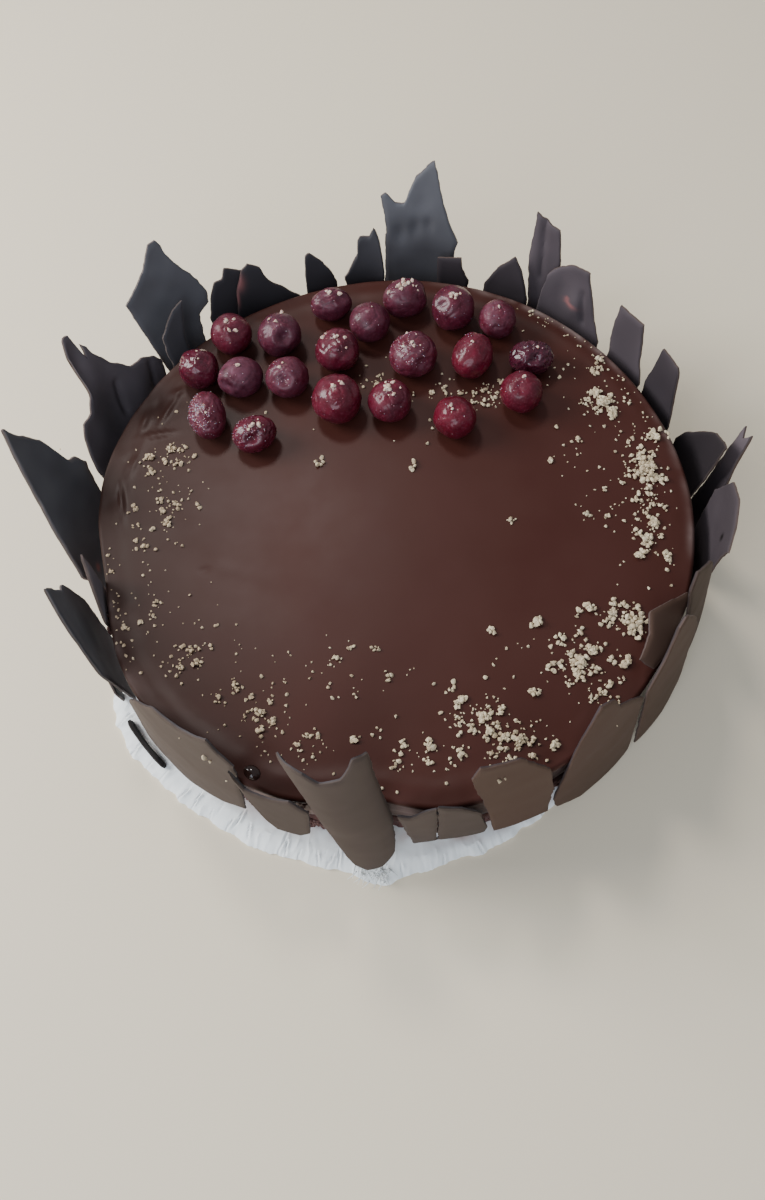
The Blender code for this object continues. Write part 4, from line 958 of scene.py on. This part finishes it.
# Chocolate shards. Each stands at an azimuth, with its foot at a radius. It bends round an upright axis with
# radius curl, tilts along the rim, leans outward and turns by yaw, all in degrees. Its outline is lines of
# points (along the rim, up): the lower and the upper edge, and the left and the right side from bottom to top
# where these aren't straight. Bumps are (along, up, half along, half up, height), ridges (along, up, along,
# up, width, height), and both stand out to the outside. Scars and spots are (along, up, half along, half up).
shards = {
    "shard_01_roll": dict(
        at=349, foot=132.5, lean=-8, tilt=-5, curl=18.0, cut=0.05,
        lower=((-5, 23), (-3, 12), (0.5, 6), (7, 8), (12, 14), (14, 18)),
        left=((-5, 23), (-8, 48), (-12, 78), (-18, 100)), right=((14, 18), (17, 48), (16, 106)),
        upper=((-18, 100), (-10, 103), (-6, 102), (-2, 97), (6, 99), (11, 109), (16, 106))),
    "shard_02": dict(
        at=359.5, foot=123.6, lean=-1, cut=0.05, lower=((-5, 17), (4, 19)),
        upper=((-9, 66), (-5, 62), (1, 70), (4, 71))),
    "shard_03": dict(
        at=5, foot=123.8, lean=-1, cut=0.05, lower=((-7.4, 20), (11, 15)),
        upper=((-7.4, 75), (1, 67), (8, 50), (11.5, 22))),
    "shard_04": dict(
        at=15, foot=127.5, lean=-7, cut=0.05, lower=((-8, 20), (15, 14)),
        upper=((-16, 82), (-13, 90), (1, 86), (13, 63), (16, 38)), left=((-8, 20), (-10.5, 46), (-16, 82))),
    # dark on shards 05, 06 and 08 is painted shade on the right side, away from the window light
    "shard_05": dict(
        at=34, foot=126.9, lean=-6.5, dark=0.10, cut=0.05, lower=((-22, 10), (-10, 1), (19, 1)),
        upper=((-24, 22), (-19, 50), (-15, 70), (-8, 92), (-2, 88), (2, 77), (10, 68), (19, 54))),
    "shard_06": dict(
        at=52, foot=130, lean=-7, yaw=6, dark=0.15, lower=((-19, 4), (0, 0), (14, 8)),
        upper=((-19, 58), (-12, 73), (-8, 92), (-4, 95), (7, 76), (14, 58))),
    "shard_07_flap": dict(
        at=56, foot=118.6, lean=-52, lift=57.4, curl=400.0, lower=((-17, 2), (-9, -0.5), (11, -0.5), (15, 0)),
        upper=((-18, 9), (-8, 10), (-1, 14), (2, 12.5), (8, 8), (17, 1.5))),
    "shard_08": dict(
        at=66, foot=132.2, lean=-8.5, yaw=11, dark=0.35, lower=((-8, 0), (9, 1)),
        right=((9, 1), (14, 16), (8, 48), (7, 62)), upper=((-18, 80), (-15, 90), (0, 74), (7, 62))),
    "shard_09": dict(
        at=76, foot=125.4, lean=2, paintedSheen=(0.16, 0.22, 40, 75), spots=((-4, 64, 1.1, 1.8),),
        lower=((-11, 0), (15, 0)), left=((-11, 0), (-11, 62), (-14, 71)),
        upper=((-14, 71), (-7, 77.5), (3, 81), (12, 77), (19, 60))),
    "shard_10_spike": dict(
        at=89, foot=125.6, lean=12, paintedSheen=(0.05, 0.42, 45, 66), lower=((-5, 5), (6, 5)),
        left=((-5, 5), (-9, 32), (-4, 46)), upper=((-4, 46), (1, 60), (4, 75), (6.5, 69), (10, 73)),
        right=((6, 5), (7, 38), (9, 58), (10, 73))),
    # dark on the cup paints the shade in its hollow
    "shard_11_cup": dict(
        at=97, foot=123.4, lean=8, curl=45.0, paintedSheen=(0.02, 0.07, 40, 70), dark=0.35, lower=((-12, 0), (9, 0)),
        left=((-12, 0), (-17.5, 50), (-17, 71)), upper=((-17, 71), (-6, 65), (0, 58), (8, 47), (10, 40))),
    "shard_12": dict(
        at=108.5, foot=122.5, lean=4, paintedSheen=(0.06, 0.12, 45, 70), lower=((-11, 0), (8, 0)),
        upper=((-11.3, 44), (-5, 66), (-3.5, 72), (8, 72), (8.7, 61), (10, 50))),
    "shard_13": dict(
        at=119.3, foot=122.5, lean=4, paintedSheen=(0.26, 0.36, 45, 70), lower=((-10, 0), (8.5, 0)),
        upper=((-11, 46), (-7, 57), (-5, 66), (-3, 73), (10, 73)),
        right=((8.5, 0), (9, 48), (10.5, 62), (10, 73))),
    "shard_14": dict(
        at=134.5, foot=122.5, lean=5, paintedSheen=(0.22, 0.36, 45, 70),
        scars=((-0.5, 58, 3.0, 0.9), (1.5, 59.5, 1.2, 0.7)), lower=((-16, 0), (14, 0)),
        upper=((-18, 46), (-12, 57), (-9, 66), (-5, 77), (2, 77), (8, 73), (13, 67), (15, 50)),
        bumps=((-3, 58, 4.5, 7, -2.2), (5, 62, 4, 9, 1.0)), ridges=((-5, 66, -8, 52, 1.2, 1.1),)),
    "shard_15_tall": dict(
        at=141, foot=126.2, lean=5, curl=60.0, paintedSheen=(0.26, 0.45, 60, 88), ridges=((3, 60, 5, 88, 1.3, 0.9),),
        lower=((-3, 0), (6, 0)), upper=((-5, 68), (-2, 86), (4, 88), (9, 91)),
        right=((6, 0), (7, 46), (10, 70), (9, 91))),
    "shard_16": dict(
        at=149, foot=122.5, lean=4, paintedSheen=(0.05, 0.18, 52, 70), lower=((-11, 0), (9, 0)),
        upper=((-12, 49), (-8, 62), (-4, 70), (3, 62), (9, 51))),
    "shard_17": dict(
        at=160, foot=122.3, lean=4, paintedSheen=(0.06, 0.14, 50, 62), lower=((-7, 0), (6, 0)),
        upper=((-8, 50), (-5, 56), (-4.5, 62), (6.5, 61))),
    "shard_18_back": dict(
        at=166, foot=124.8, lean=9, paintedSheen=(0.30, 0.80, 58, 76), lower=((-12, 0), (17, 0)),
        upper=((-15, 63), (-11, 72), (-7, 87), (-4, 101), (4, 93), (6, 88), (9, 81), (13, 81), (17, 86),
               (19, 84)),
        left=((-12, 0), (-13, 52), (-15, 63)), right=((17, 0), (18, 42), (17, 70), (19, 84)),
        bumps=((11, 66, 2.6, 4, 1.0), (4, 69, 2.6, 4, 1.0), (-2, 71, 2.4, 3.5, 0.8), (2, 81, 4, 4, 0.5))),
    "shard_19_curl": dict(
        at=178, foot=123.4, lean=4, curl=25.0, paintedSheen=(0.10, 0.35, 45, 70), lower=((-8, 0), (8, 0)),
        upper=((-9, 45), (-8.5, 64), (-7, 72), (-6, 76), (-4, 71), (1.4, 71), (2.6, 62), (5, 57), (9, 51))),
    "shard_20": dict(
        at=187, foot=122.5, lean=4, paintedSheen=(0.05, 0.12, 45, 66), lower=((-6, 0), (7, 0)),
        upper=((-7, 49), (-5, 55), (-2, 61), (4, 68), (6, 66), (7.5, 47))),
    "shard_21": dict(
        at=202, foot=122.4, lean=5, paintedSheen=(0.06, 0.16, 45, 70),
        scars=((4, 65, 2.5, 4.0), (6.5, 58, 1.0, 4.0)), lower=((-21, 0), (6, 0)),
        upper=((-23, 44), (-17, 51), (-9, 60), (-7, 68), (-2, 72), (1, 70), (6, 60), (8, 46))),
    "shard_22": dict(
        at=202, foot=124.9, lean=5, paintedSheen=(0.05, 0.14, 50, 70), lower=((-1, 0), (17, 0)),
        upper=((-3, 66), (2, 69), (8, 73), (10, 68), (14, 68), (17, 62), (20.5, 52))),
    "shard_23_kite": dict(
        at=219, foot=125.0, lean=8, paintedSheen=(0.44, 0.64, 40, 90), lower=((-8, 0), (4, 0)),
        upper=((-22, 64), (-20, 71), (-16, 79), (-12, 89), (-10, 98), (-6, 98), (1, 89), (14, 81)),
        left=((-8, 0), (-14, 47), (-15, 55), (-21, 58), (-22, 64)), right=((4, 0), (11, 52), (14, 81))),
    "shard_24_sliver": dict(
        at=222, foot=122.2, lean=3, paintedSheen=(0.20, 0.30, 50, 75), lower=((-8, 30), (2, 30)),
        upper=((-13, 75), (-7, 73), (2, 64)), left=((-8, 30), (-8, 58), (-13, 75)),
        right=((2, 30), (3, 57), (2, 64))),
    "shard_25_hook": dict(
        at=240, foot=124.3, lean=6, paintedSheen=(0.30, 0.46, 40, 80), warm=0.7, lower=((-28, 0), (18, 0)),
        upper=((-36, 50), (-33, 55), (-28, 59), (-21, 61), (-14, 71), (-10, 80), (-7, 90), (-6, 82), (-4, 97),
               (-1, 98), (1.5, 90), (1.6, 78), (2.2, 68), (7, 62), (13, 63), (17, 58), (20, 50), (22, 41)),
        bumps=((-6, 52, 8, 12, 2.2), (-21, 50, 7, 12, -2.0), (-1, 84, 3, 9, 1.2)),
        ridges=((-12, 60, -9, 44, 1.6, 1.2), (-30, 54, -26, 40, 1.5, 0.9))),
    "shard_26_left": dict(
        at=265, foot=126.6, lean=9, thick=1.9, paintedSheen=(0.46, 0.54, 40, 80), cut=0.5, edgeHighlightWidth=0.9,
        scars=((0, 17, 1.6, 1.6),), lower=((-28, 4), (6, 4)), left=((-28, 4), (-33, 34), (-37, 45)),
        upper=((-37, 45), (-35, 52), (-31, 56), (-30, 65), (-28, 76), (-21, 90), (-19, 97), (-4, 63),
               (10, 28))),
    "shard_27_strip": dict(
        at=281, foot=117.5, lean=-1, yaw=5, paintedSheen=(0.70, 0.95, 30, 60), warm=0.6, cut=0.9, edgeHighlightWidth=0.9,
        lower=((-8, 30), (10, 30)), upper=((-8, 76), (10, 52))),
    "shard_28": dict(
        at=290, foot=124.4, lean=2, paintedSheen=(0.40, 0.46, 40, 80), lower=((-20, 8), (6, 6)),
        upper=((-27, 43), (-25, 58), (-23, 68), (-19, 69), (-17, 75), (-12, 87), (-5, 79), (1, 71), (7, 62),
               (12, 53))),
    "shard_29_chip": dict(
        at=290, foot=129.5, lean=0, lower=((-1, 0.5), (3, 3)), upper=((-5, 22), (5, 17))),
    "shard_30_long": dict(
        at=315, foot=127.4, lean=-6.2, cut=0.05, lower=((-33, 8), (-14, 14), (-3, 14), (16, 22), (27, 30)),
        upper=((-36, 36), (-28, 52), (-18, 70), (-3, 87), (9, 88), (16, 91), (21, 95), (24, 87), (29, 80))),
    "shard_31_fallen": dict(
        at=301, foot=130.6, lean=0, yaw=-3, dark=0.95, cut=0.0, thick=2.4,
        lower=((-13, 0.4), (13, 0.4)), upper=((-13, 4), (-10, 5.5), (9, 5.5), (13, 4))),
    "shard_32": dict(
        at=333, foot=130.4, lean=-7, cut=0.05, lower=((-4, 48), (0, 37), (3, 31), (12, 32), (16, 38)),
        upper=((-10, 78), (-8, 72), (-6, 66), (-2, 65), (4, 65), (11, 69), (17, 61))),
}

# What every sheet has, unless its own entry says otherwise
sheet = dict(
    thick=1.6, curl=121.0, tilt=0.0, yaw=0.0, lift=cake["paperThick"] + cake["gap"],
    # dark darkens a whole sheet; on shards 05, 06, 08 and the cup it is painted shade
    bumps=(), ridges=(), spots=(), scars=(), dark=0.0, warm=0.0,
    jagged=0.34, jaggedEvery=4.5,       # coarse breaks along the edges: depth, length
    chipped=0.18, chippedEvery=1.3,     # fine chips
    wavy=0.24, wavyEvery=22.0,          # slow waves of the whole sheet
    spacingAlong=0.85, spacingUp=1.6, edgeRows=(0.0, 0.25, 0.6), firstRow=1.1, lowSheet=8.0,
    roundedEdge=0.8, thinned=0.52, step=0.02,
    cut=0.30, edgeHighlightWidth=0.25,            # strength and width of the painted highlight along the broken edge
    paintedSheen=(0.10, 0.20, 40, 80),         # painted sheen of cool reflected light on the inner side: strength low and high up, and the heights between
    warmLightSide=(12, 165),                 # the azimuths of the right side, where a warm light is painted on the film and on the outside
)


def wholeShard(node):
    return dict(sheet, **shards[node], node=node)


def edgeLine(points, run, climb):
    # a function that gives the point of a line at any share of its way, which is run times the sideways
    # travel plus climb times the rise
    corners = np.array(points, dtype=float)
    steps = run * np.abs(np.diff(corners[:, 0])) + climb * np.abs(np.diff(corners[:, 1]))
    travel = np.concatenate([[0.0], np.cumsum(steps)])
    travel = travel / travel[-1]
    return lambda share: np.stack([np.interp(share, travel, corners[:, axis]) for axis in (0, 1)], axis=1)


def shardOutline(shard, share, climb):
    # flat points (along, up) filled in between four edges: the way from the lower to the upper edge plus that
    # from the left to the right side, less the blend of the four corners
    lower, upper = shard["lower"], shard["upper"]
    s, t = share[None, :, None], climb[:, None, None]
    across = (1.0 - t) * edgeLine(lower, 1.0, 0.3)(share)[None] + t * edgeLine(upper, 1.0, 0.3)(share)[None]
    leftSide = edgeLine(shard.get("left", (lower[0], upper[0])), 0.3, 1.0)(climb)[:, None]
    rightSide = edgeLine(shard.get("right", (lower[-1], upper[-1])), 0.3, 1.0)(climb)[:, None]
    bottom = (1.0 - s) * np.array(lower[0]) + s * np.array(lower[-1])
    top = (1.0 - s) * np.array(upper[0]) + s * np.array(upper[-1])
    return across + (1.0 - s) * leftSide + s * rightSide - (1.0 - t) * bottom - t * top


def turned(first, second, degrees):
    # a pair of coordinates turned from the first toward the second by an angle
    sine, cosine = math.sin(math.radians(degrees)), math.cos(math.radians(degrees))
    return first * cosine - second * sine, first * sine + second * cosine


def shardSurface(along, up, shard):
    # bent: side = sin(along / curl) x curl, out = (cos(along / curl) - 1) x curl; then tilted, leaned, turned
    # and set out from the cake's axis
    curl = shard["curl"]
    side, out = np.sin(along / curl) * curl, (np.cos(along / curl) - 1.0) * curl
    side, rise = turned(side, up, -shard["tilt"])
    out, rise = turned(out, rise, -shard["lean"])
    side, out = turned(side, out, shard["yaw"])
    outX, outY = outward(shard["at"])
    reach = shard["foot"] + out
    return stack3(reach * outX - side * outY, reach * outY + side * outX, rise + shard["lift"])


def shardRelief(along, up, shard, seed):
    # how far the middle of the sheet stands out: slow waves, bell-shaped bumps, and ridges along line pieces
    every = sheet["wavyEvery"]
    relief = sheet["wavy"] * cloudNoise(stack3(along / every, up / every, 0.5), 3, seed)
    for centreAlong, centreUp, halfAlong, halfUp, height in shard["bumps"]:
        relief = relief + height * bell(np.hypot((along - centreAlong) / halfAlong, (up - centreUp) / halfUp))
    for startAlong, startUp, endAlong, endUp, width, height in shard["ridges"]:
        lineAlong, lineUp = endAlong - startAlong, endUp - startUp
        part = ((along - startAlong) * lineAlong + (up - startUp) * lineUp) / (lineAlong ** 2 + lineUp ** 2)
        part = np.clip(part, 0.0, 1.0)
        away = np.hypot(along - startAlong - part * lineAlong, up - startUp - part * lineUp)
        relief = relief + height * bell(away / width)
    return relief


def ovalMarks(along, up, marks):
    # bell-shaped ovals (along, up, half along, half up), as strengths from 0 to 1
    total = np.zeros(along.shape)
    for centreAlong, centreUp, halfAlong, halfUp in marks:
        total = total + 1.5 * bell(np.hypot((along - centreAlong) / halfAlong, (up - centreUp) / halfUp))
    return np.clip(total, 0.0, 1.0)


def edgedShares(span, spacing, fewest):
    # shares of the way across a sheet: close rows at each edge and even spacing between
    edge = np.array(sheet["edgeRows"]) / span
    first = min(0.2, sheet["firstRow"] / span)
    between = np.linspace(first, 1.0 - first, max(fewest, int(span / spacing)))
    return np.concatenate([edge, between, 1.0 - edge[::-1]])


def breakEdges(flat, near, spanUp, seed):
    # the outline is shifted by noise of its own place, less and less inward, with fine chips at the very edge
    shift = np.exp(-near / 3.0) * min(1.0, spanUp / 20.0)
    coarse, finer = flat / sheet["jaggedEvery"], flat / sheet["chippedEvery"]
    for axis in (0, 1):
        rough = sheet["jagged"] * cloudNoise(stack3(coarse[..., 0], coarse[..., 1], axis * 9.0), 2, seed + 3)
        chips = sheet["chipped"] * cloudNoise(stack3(finer[..., 0], finer[..., 1], axis * 5.0), 2, seed + 7)
        flat[..., axis] += shift * (rough + np.exp(-near) * chips)


def sheetFaces(rows, columns):
    # the outer side, the inner side, whose points follow all the outer ones, and the strip between them
    count = rows * columns
    faces = gridFaces(rows, columns)
    number = np.arange(count).reshape(rows, columns)
    border = np.concatenate([number[0], number[1:, -1], number[-1, -2::-1], number[-2:0:-1, 0]])
    after = np.roll(border, -1)
    return [faces, count + faces[:, ::-1], np.stack([after, border, border + count, after + count], axis=1)]


def makeShard(name, shard, seed, material):
    # the outline filled in, its edges broken, bent into place, and given relief and a thickness to both sides
    spanAlong, spanUp = np.ptp(np.array(shard["upper"] + shard["lower"], dtype=float), axis=0)
    share = edgedShares(spanAlong, sheet["spacingAlong"], 14)
    climb = edgedShares(spanUp, sheet["spacingUp"], 10)
    if spanUp < sheet["lowSheet"]:
        climb = np.linspace(0.0, 1.0, 12)
    flat = shardOutline(shard, share, climb)
    # how near each point is to the outline, in mm
    s, t = share[None, :], climb[:, None]
    nearEnd = np.minimum(t, 1.0 - t) * np.linalg.norm(flat[-1] - flat[0], axis=-1)[None, :]
    near = np.minimum(np.minimum(s, 1.0 - s) * spanAlong, nearEnd)
    breakEdges(flat, near, spanUp, seed)
    along, up = flat[..., 0], flat[..., 1]
    middle = shardSurface(along, up, shard)
    # the normal, from two points of the surface a small step away
    sideways = shardSurface(along + sheet["step"], up, shard) - middle
    normal = np.cross(sideways, shardSurface(along, up + sheet["step"], shard) - middle)
    normal = normal / np.linalg.norm(normal, axis=-1, keepdims=True)
    facing = np.sign(np.sum(normal[..., :2] * np.array(outward(shard["at"])), axis=-1, keepdims=True).mean())
    middle = middle + normal * facing * shardRelief(along, up, shard, seed)[..., None]
    half = 0.5 * shard["thick"] * (1.0 - sheet["thinned"] * bell(near / sheet["roundedEdge"]))
    half = half * (1.0 + 0.12 * cloudNoise(stack3(along / 9.0, up / 9.0, 2.0), 2, seed + 5))
    reach = normal * half[..., None]
    points = np.concatenate([middle + reach, middle - reach]).reshape(-1, 3)
    # painted sheen of cool reflected light on the inner side, stronger higher up
    low, high, riseFrom, riseTo = shard["paintedSheen"]
    paintedSheen = low + (high - low) * np.clip((up - riseFrom) / (riseTo - riseFrom), 0.0, 1.0)
    paintedSheen = paintedSheen * (1.0 + 0.25 * cloudNoise(stack3(along / 12.0, up / 12.0, 6.0), 2, seed + 9))
    # painted warm light tint: full on the right side, elsewhere the sheet's own share
    warmFrom, warmTo = sheet["warmLightSide"]
    warm = 1.0 if warmFrom < shard["at"] < warmTo else shard["warm"]
    # the pale broken edge is a painted highlight
    layers = {"paintedEdgeHighlight": shard["cut"] * bell(near / shard["edgeHighlightWidth"]), "paintedSheen": paintedSheen,
              # dark: painted shade over the sheet, and dark spots
              "dark": np.maximum(shard["dark"], ovalMarks(along, up, shard["spots"])),
              "scar": ovalMarks(along, up, shard["scars"]), "warm": np.full(near.shape, warm)}
    layers = {layerName: np.tile(values.ravel(), 2) for layerName, values in layers.items()}
    layers["inside"] = np.repeat([1.0, 0.0] if facing < 0 else [0.0, 1.0], near.size)
    makePiece(name, points, sheetFaces(*near.shape), material, nodes=(shard["node"],),
              slotName="dark_chocolate", sharpDegrees=38.0, layers=layers)


# Crumbs that stick to shards: node, along, up, side (1 outside, -1 inside), size
stuckCrumbs = (
    ("shard_30_long", 18, 76, 1, 2.6), ("shard_30_long", 20, 75, 1, 1.6), ("shard_30_long", 8, 80, 1, 0.8),
    ("shard_30_long", 24, 60, 1, 0.8), ("shard_04", -7, 77, 1, 2.0), ("shard_04", -5, 77, 1, 1.2),
    ("shard_26_left", -31, 64, -1, 1.2), ("shard_05", 2, 60, 1, 0.8),
)


def makeStuckCrumbs():
    # a crumb's middle is a little more than half the sheet's thickness from its middle surface
    centres = []
    for node, along, up, side, size in stuckCrumbs:
        shard = wholeShard(node)
        outX, outY = outward(shard["at"])
        off = side * (0.9 + 0.2 * size) * np.array([outX, outY, 0.0])
        centres.append(shardSurface(float(along), float(up), shard) + off)
    sizes = np.array([crumb[4] for crumb in stuckCrumbs])
    makeLumps("stuckCrumbs", centres, sizes, 2, nutMaterial(), "dark_chocolate", 79, roughness=0.35,
              tone=np.full(len(sizes), 0.4), facets=nuts["facets"])
    print("crumbs on the shards made")


def makeShards():
    # one piece a node: shard_01_roll becomes shard01Roll
    material = chocolateMaterial()
    for index, node in enumerate(shards):
        number, *words = node.split("_")[1:]
        name = "shard" + number + "".join(word.capitalize() for word in words)
        makeShard(name, wholeShard(node), 100 + 11 * index, material)
    print("shards made:", len(shards))


# Floor

floor = dict(half=3.0, below=-0.0002, colour=(0.76, 0.66, 0.51))


def makeFloor():
    half = floor["half"]
    mesh = bpy.data.meshes.new("floor")
    corners = [(x * half, y * half, floor["below"]) for x, y in ((-1, -1), (1, -1), (1, 1), (-1, 1))]
    mesh.from_pydata(corners, [], [(0, 1, 2, 3)])
    recipe = Recipe("paleFloor", Roughness=0.85)
    recipe.shader.inputs["Base Color"].default_value = (*floor["colour"], 1.0)
    mesh.materials.append(recipe.material)
    item = addObject("floor", mesh)


placeCamera()
placeLights()
makeFloor()
print("camera, lights and floor placed")
makePaper()
makeFringe()
makeSponge()
makeMousse()
makeGlaze()
makeBead()
makeCherries()
makeNuts()
makeCherryTopping()
makeSideCrumbs()
makeShards()
makeStuckCrumbs()

print("scene ready")
